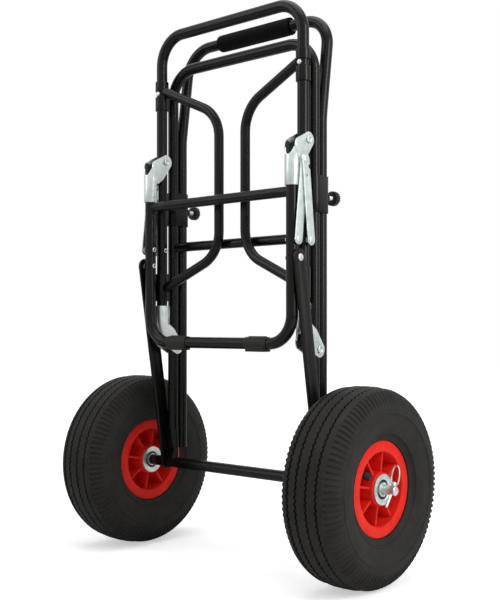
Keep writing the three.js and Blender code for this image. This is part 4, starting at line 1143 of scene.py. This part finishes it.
def axle():
    """Tube between the wheels, and the rod through it with a cross hole near each end."""
    ends = [Vector((x, REAR_Y, AXLE_Z)) for x in (-AXLE_TUBE_HALF, AXLE_TUBE_HALF)]
    stands_for(tube("axle_tube_pipe", ends, [], AXLE_TUBE_R, AXLE_TUBE_WALL), "axle_tube")
    half = [(ROD_R, ROD_HALF - ROD_CHAMFER), (ROD_R - ROD_CHAMFER, ROD_HALF), (0, ROD_HALF)]
    bar = turned("axle_rod_bar", [*opposite(half), *half], TUBE_SIDES, at(0, REAR_Y, AXLE_Z))
    spots = [pin_place(sign) @ UPRIGHT for sign in SIDES.values()]
    holes = [rod(LYNCH_R + GAP, -2 * ROD_R, 2 * ROD_R, spot) for spot in spots]
    stands_for(combined(bar, holes, "DIFFERENCE"), "axle_rod")


def lynch(tag, sign):
    """Pin with a rounded head, and a wire ring hinged in it."""
    place = pin_place(sign)
    top = LYNCH_HEAD_FROM + LYNCH_HEAD
    profile = [
        *((r * LYNCH_R, -LYNCH_TAIL + z * LYNCH_R) for r, z in LYNCH_TIP_SHARES),
        (LYNCH_R, ROD_R + GAP),
        (LYNCH_HEAD_R, LYNCH_HEAD_FROM),
        *((r, top - LYNCH_R + z) for r, z in dome(LYNCH_HEAD_R, 0, LYNCH_R)),
    ]
    pin = turned("lynch_body_" + tag, profile, PIN_SIDES, UPRIGHT)
    hinge_at = at(0, 0, RING_HOLE_Z)
    hole = rod(RING_HOLE_R, -2 * LYNCH_HEAD_R, 2 * LYNCH_HEAD_R, hinge_at)
    combined(pin, [hole], "DIFFERENCE").data.transform(place)
    stands_for(pin, "lynch_pin_" + tag)

    chord = LYNCH_HEAD_R + RING_WIRE_R
    start = math.asin(chord / RING_HALF)
    drop = RING_HIGH * math.cos(start)
    turns = [start + 2 * (math.pi - start) * k / RING_STEPS for k in range(RING_STEPS + 1)]
    points = [Vector((-RING_HALF * math.sin(a), 0, drop - RING_HIGH * math.cos(a))) for a in turns]
    ring = swept("lynch_wire_" + tag, points, RING_WIRE_R)
    reach = chord + RING_END_SHARE * RING_WIRE_R
    hinge = swept("hinge", [Vector((-reach, 0, 0)), Vector((reach, 0, 0))], RING_WIRE_R)
    combined(ring, [bevelled(hinge, RING_END_ROUND)], "UNION")
    ring.data.transform(place @ hinge_at @ turn(RING_LEAN, "X"))
    stands_for(ring, "lynch_ring_" + tag)


# Wheels.


def tyre_profile():
    """The tyre's section, and which of its points belong to a groove."""
    crown = [(TYRE_R - CROWN_DROP * (x / CROWN_HALF) ** 2, x) for x in GROOVE_X]
    points = [(TYRE_R, 0)]
    grooves = set()
    for r, x in crown:
        points.append((r, x - 2 * GROOVE_HALF))
        for dx, drop in ((-1, 0), (-GROOVE_FLOOR_SHARE, 1), (GROOVE_FLOOR_SHARE, 1), (1, 0)):
            grooves.add(len(points))
            points.append((r - drop * GROOVE_DEPTH, x + dx * GROOVE_HALF))
        points.append((r, x + 2 * GROOVE_HALF))
    points += smooth_line(TYRE_WALL, TYRE_STEPS)
    seat = BEAD_HALF - GAP
    points += [(TYRE_WALL[-1][0], seat), (BEAD_R + GAP, seat), (BEAD_R + GAP, TYRE_TOE_HALF), *TYRE_INSIDE]
    grooves |= {2 * len(points) - 2 - j for j in grooves}
    return [*points, *opposite(points[1:-1])], grooves


def tyre(node, place):
    """Tyre with zigzag grooves round its crown and lugs on its shoulders."""
    profile, grooves = tyre_profile()

    def rule(i, j, r, x):
        phase = i % STEPS_PER_LUG
        if j in grooves:
            x += ZIGZAG * ZIGZAG_SHARES[phase]
        if LUG_LOW_R < r < LUG_TOP_R + GAP and abs(x) > LUG_FROM_X and 2 * phase >= STEPS_PER_LUG:
            depth = LUG_DEPTH * smoothstep(r, LUG_LOW_R, LUG_LOW_R + LUG_FADE)
            x -= math.copysign(LUG_ACROSS_SHARE * depth, x)
            r -= LUG_INWARD_SHARE * depth
        return r, x

    stands_for(turned(node + "_tread", profile, LUGS * STEPS_PER_LUG, place, rule), node)


def rim(node, place, rib_start):
    """Rim with rounded flanges, a web and ribs."""
    seat = HUB_HALF - BEARING_DEPTH
    hub = [(HUB_BORE_R, 0), (HUB_BORE_R, seat), (BEARING_R + GAP, seat), (BEARING_R + GAP, HUB_HALF)]
    web = [(HUB_R, HUB_HALF), (HUB_R + HUB_DRAFT, WEB_HALF), (BARREL_R, WEB_HALF)]
    barrel = [(BARREL_R + BARREL_DRAFT, RIM_HALF), (RIM_R, RIM_HALF)]
    half = [*hub, *web, *barrel, (RIM_R, BEAD_HALF), (BEAD_R, BEAD_HALF), (BEAD_R, 0)]
    body = turned(node + "_moulding", [*half, *opposite(half[1:-1])], WHEEL_SIDES)
    bevelled(body, RIM_ROUND, angle=RIM_SHARP)
    tip = RIM_HALF - RIB_SET_BACK
    ribs = []
    for k in range(RIB_COUNT):
        rib = block((-tip, HUB_R - RIB_IN_HUB, -RIB_HALF), (tip, BARREL_R + RIB_IN_BARREL, RIB_HALF))
        bevelled(rib, RIB_ROUND, FEW_STEPS)
        rib.data.transform(turn(rib_start + 2 * math.pi * k / RIB_COUNT, "X"))
        ribs.append(rib)
    combined(body, ribs, "UNION").data.transform(place)
    stands_for(body, node)


def bearing(node, place):
    """Flanged bearing with a seal between its races."""
    inside = HUB_HALF - BEARING_DEPTH + GAP
    flange = HUB_HALF + GAP
    face = flange + BEARING_FLANGE
    bottom = face - SEAL_DEPTH
    bore = ROD_R + GAP
    low_r, high_r = SEAL_R
    body = [(bore, inside), (BEARING_R, inside), (BEARING_R, flange), (BEARING_FLANGE_R, flange)]
    outer = [(BEARING_FLANGE_R, face), (RACE_EDGE_R[0], face), (RACE_EDGE_R[1], face - RACE_STEP)]
    groove = [(high_r, face - RACE_STEP), (high_r, bottom), (low_r, bottom)]
    inner = [(low_r, face + RACE_STEP), (bore, face + RACE_STEP)]
    races = [*body, *outer, *groove, *inner]
    made = bevelled(turned(node + "_race", races, BEARING_SIDES), BEARING_ROUND, FEW_STEPS)
    made.data.transform(place)
    stands_for(made, node)
    low_r, high_r, top = low_r + SEAL_PLAY, high_r - SEAL_PLAY, bottom + SEAL_THICK
    seal = [(low_r, bottom), (high_r, bottom), (high_r - SEAL_TAPER, top), (low_r + SEAL_TAPER, top)]
    made = bevelled(turned(node + "_seal", seal, BEARING_SIDES), SEAL_ROUND, FEW_STEPS)
    made.data.transform(place)
    rides_with(made, node, "tube_rubber")


def valve_cap(node, place, rib_start):
    """Ribbed cap over the tip of the valve stem."""
    azimuth = rib_start + VALVE_AT_RIB * 2 * math.pi / RIB_COUNT
    ends = (VALVE_ROOT, VALVE_TIP)
    root, tip = (Vector((x, r * math.cos(azimuth), r * math.sin(azimuth))) for r, x in ends)
    way = (tip - root).normalized()
    low = tip - way * CAP_COVER
    inner = VALVE_R + GAP
    outer = inner + CAP_WALL
    floor_x = CAP_COVER + GAP
    skirt = [(0, floor_x), (inner, floor_x), (inner, 0), (outer, 0)]
    crown = [(outer, CAP_LENGTH - CAP_WALL), (outer - CAP_WALL, CAP_LENGTH), (0, CAP_LENGTH)]

    def ribbed(i, _, r, x):
        between = 2 * (i % STEPS_PER_CAP_RIB) < STEPS_PER_CAP_RIB
        return r - CAP_RIB_DEPTH * (between and r == outer), x

    facing = at(*low) @ way.to_track_quat("X", "Z").to_matrix().to_4x4()
    stands_for(turned(node + "_skirt", [*skirt, *crown], CAP_SIDES, place @ facing, ribbed), node)


def wheel(tag, sign):
    """The pieces of a wheel."""
    place = on_axle(WHEEL_X, sign)
    tyre("tyre_" + tag, place)
    rim("rim_" + tag, place, sign * RIB_START)
    bearing("bearing_outer_" + tag, place)
    bearing("bearing_inner_" + tag, place @ turn(math.pi, "Z"))
    valve_cap("valve_cap_" + tag, place, sign * RIB_START)


# Studio.


def lamp(name, place, target, size, power):
    """A lamp that faces its target."""
    light = bpy.data.lights.new(name, "AREA")
    light.shape = "RECTANGLE"
    light.size, light.size_y = size
    light.energy = power
    made = linked(name, light)
    made.location = place
    made.rotation_euler = (Vector(target) - Vector(place)).to_track_quat("-Z", "Y").to_euler()


def world():
    """White where the camera or a mirror looks, softer as a light."""
    made = bpy.data.worlds.new("studio")
    bpy.context.scene.world = made
    made.use_nodes = True
    tree = made.node_tree
    out = tree.nodes["World Output"]
    light = tree.nodes["Background"]
    light.inputs["Color"].default_value = WHITE
    light.inputs["Strength"].default_value = WORLD_LIGHT
    seen = tree.nodes.new("ShaderNodeBackground")
    seen.inputs["Color"].default_value = WHITE
    path = tree.nodes.new("ShaderNodeLightPath")
    looking = path.outputs["Is Camera Ray"]
    for ray in ("Is Glossy Ray", "Is Transmission Ray"):
        either = tree.nodes.new("ShaderNodeMath")
        either.operation = "MAXIMUM"
        tree.links.new(looking, either.inputs[0])
        tree.links.new(path.outputs[ray], either.inputs[1])
        looking = either.outputs["Value"]
    mix = tree.nodes.new("ShaderNodeMixShader")
    tree.links.new(looking, mix.inputs["Fac"])
    tree.links.new(light.outputs["Background"], mix.inputs[1])
    tree.links.new(seen.outputs["Background"], mix.inputs[2])
    tree.links.new(mix.outputs["Shader"], out.inputs["Surface"])


def floor():
    """Floor that is white to the camera, all the way out, and keeps the object's soft shadow."""
    bm = bmesh.new()
    corners = ((-1, -1), (1, -1), (1, 1), (-1, 1))
    bm.faces.new([bm.verts.new((FLOOR_REACH * x, FLOOR_REACH * y, FLOOR_Z)) for x, y in corners])
    mesh = bpy.data.meshes.new("floor")
    bm.to_mesh(mesh)
    bm.free()
    material, tree, shader = node_material("floor_white")
    shader.inputs["Base Color"].default_value = FLOOR_COLOUR
    shader.inputs["Roughness"].default_value = FLOOR_ROUGHNESS
    shader.inputs["Specular IOR Level"].default_value = 0
    shader.inputs["Emission Color"].default_value = WHITE
    place = tree.nodes.new("ShaderNodeTexCoord")
    away = tree.nodes.new("ShaderNodeVectorMath")
    away.operation = "LENGTH"
    tree.links.new(place.outputs["Object"], away.inputs[0])
    glow = tree.nodes.new("ShaderNodeMapRange")
    for socket, value in GLOW.items():
        glow.inputs[socket].default_value = value
    tree.links.new(away.outputs["Value"], glow.inputs["Value"])
    path = tree.nodes.new("ShaderNodeLightPath")
    seen = tree.nodes.new("ShaderNodeMath")
    seen.operation = "MULTIPLY"
    tree.links.new(path.outputs["Is Camera Ray"], seen.inputs[0])
    tree.links.new(glow.outputs["Result"], seen.inputs[1])
    tree.links.new(seen.outputs["Value"], shader.inputs["Emission Strength"])
    mesh.materials.append(material)
    made = linked("floor", mesh)


def camera():
    """The camera of the picture."""
    data = bpy.data.cameras.new("camera")
    data.sensor_width = SENSOR
    data.lens = LENS
    data.shift_y = SHIFT_UP
    made = linked("camera", data)
    made.location = CAMERA_AT
    made.rotation_euler = (math.pi / 2, 0, CAMERA_AZIMUTH)
    bpy.context.scene.camera = made


camera()
world()
floor()
for name, settings in LAMPS.items():
    lamp(name, *settings)
bpy.context.scene.view_settings.view_transform = "Standard"

rear_hoop()
crossbar("rear_crossbar", REAR_Y, REAR_BAR_Z)
crossbar("leg_crossbar", LEG_Y, LEG_BAR_Z)
hoop("deck_hoop", DECK_Y, LOWER_PIVOT_Z + PIVOT_TO_END, DECK_TOP_Z, DECK_BEND)
hoop("leg_hoop", LEG_Y, UPPER_PIVOT_Z - PIVOT_TO_END, LEG_BOTTOM_Z, LEG_BEND)
handle_hoop()
foam_grip()
axle()
tube_end = at(0, -PLANE_STEP, -PIVOT_TO_END)
for tag, sign in SIDES.items():
    side_arm(tag, sign)
    arm_stop(tag, sign)
    strut(tag, sign)
    stays(tag, sign)
    clamp(tag, sign)
    foot_pad(tag, sign)
    wheel(tag, sign)
    lynch(tag, sign)
    upper = at(sign * FRAME_HALF, DECK_Y, UPPER_PIVOT_Z)
    lower = at(sign * FRAME_HALF, REAR_Y, LOWER_PIVOT_Z) @ turn(math.pi, "Y")
    for stem, place in (("upper_hinge_", upper), ("lower_hinge_", lower)):
        hinge_bracket(stem + "bracket_" + tag, place)
        hinge_pin(stem + "pin_" + tag, place)
    for carrier, place in (("leg_hoop", upper), ("deck_hoop", lower)):
        tube_plug(carrier + "_plug_" + tag, carrier, place @ tube_end)

for node, carried in NODES.items():
    if not carried.hide_render:
        coat(carried, SLOT_OF[node])
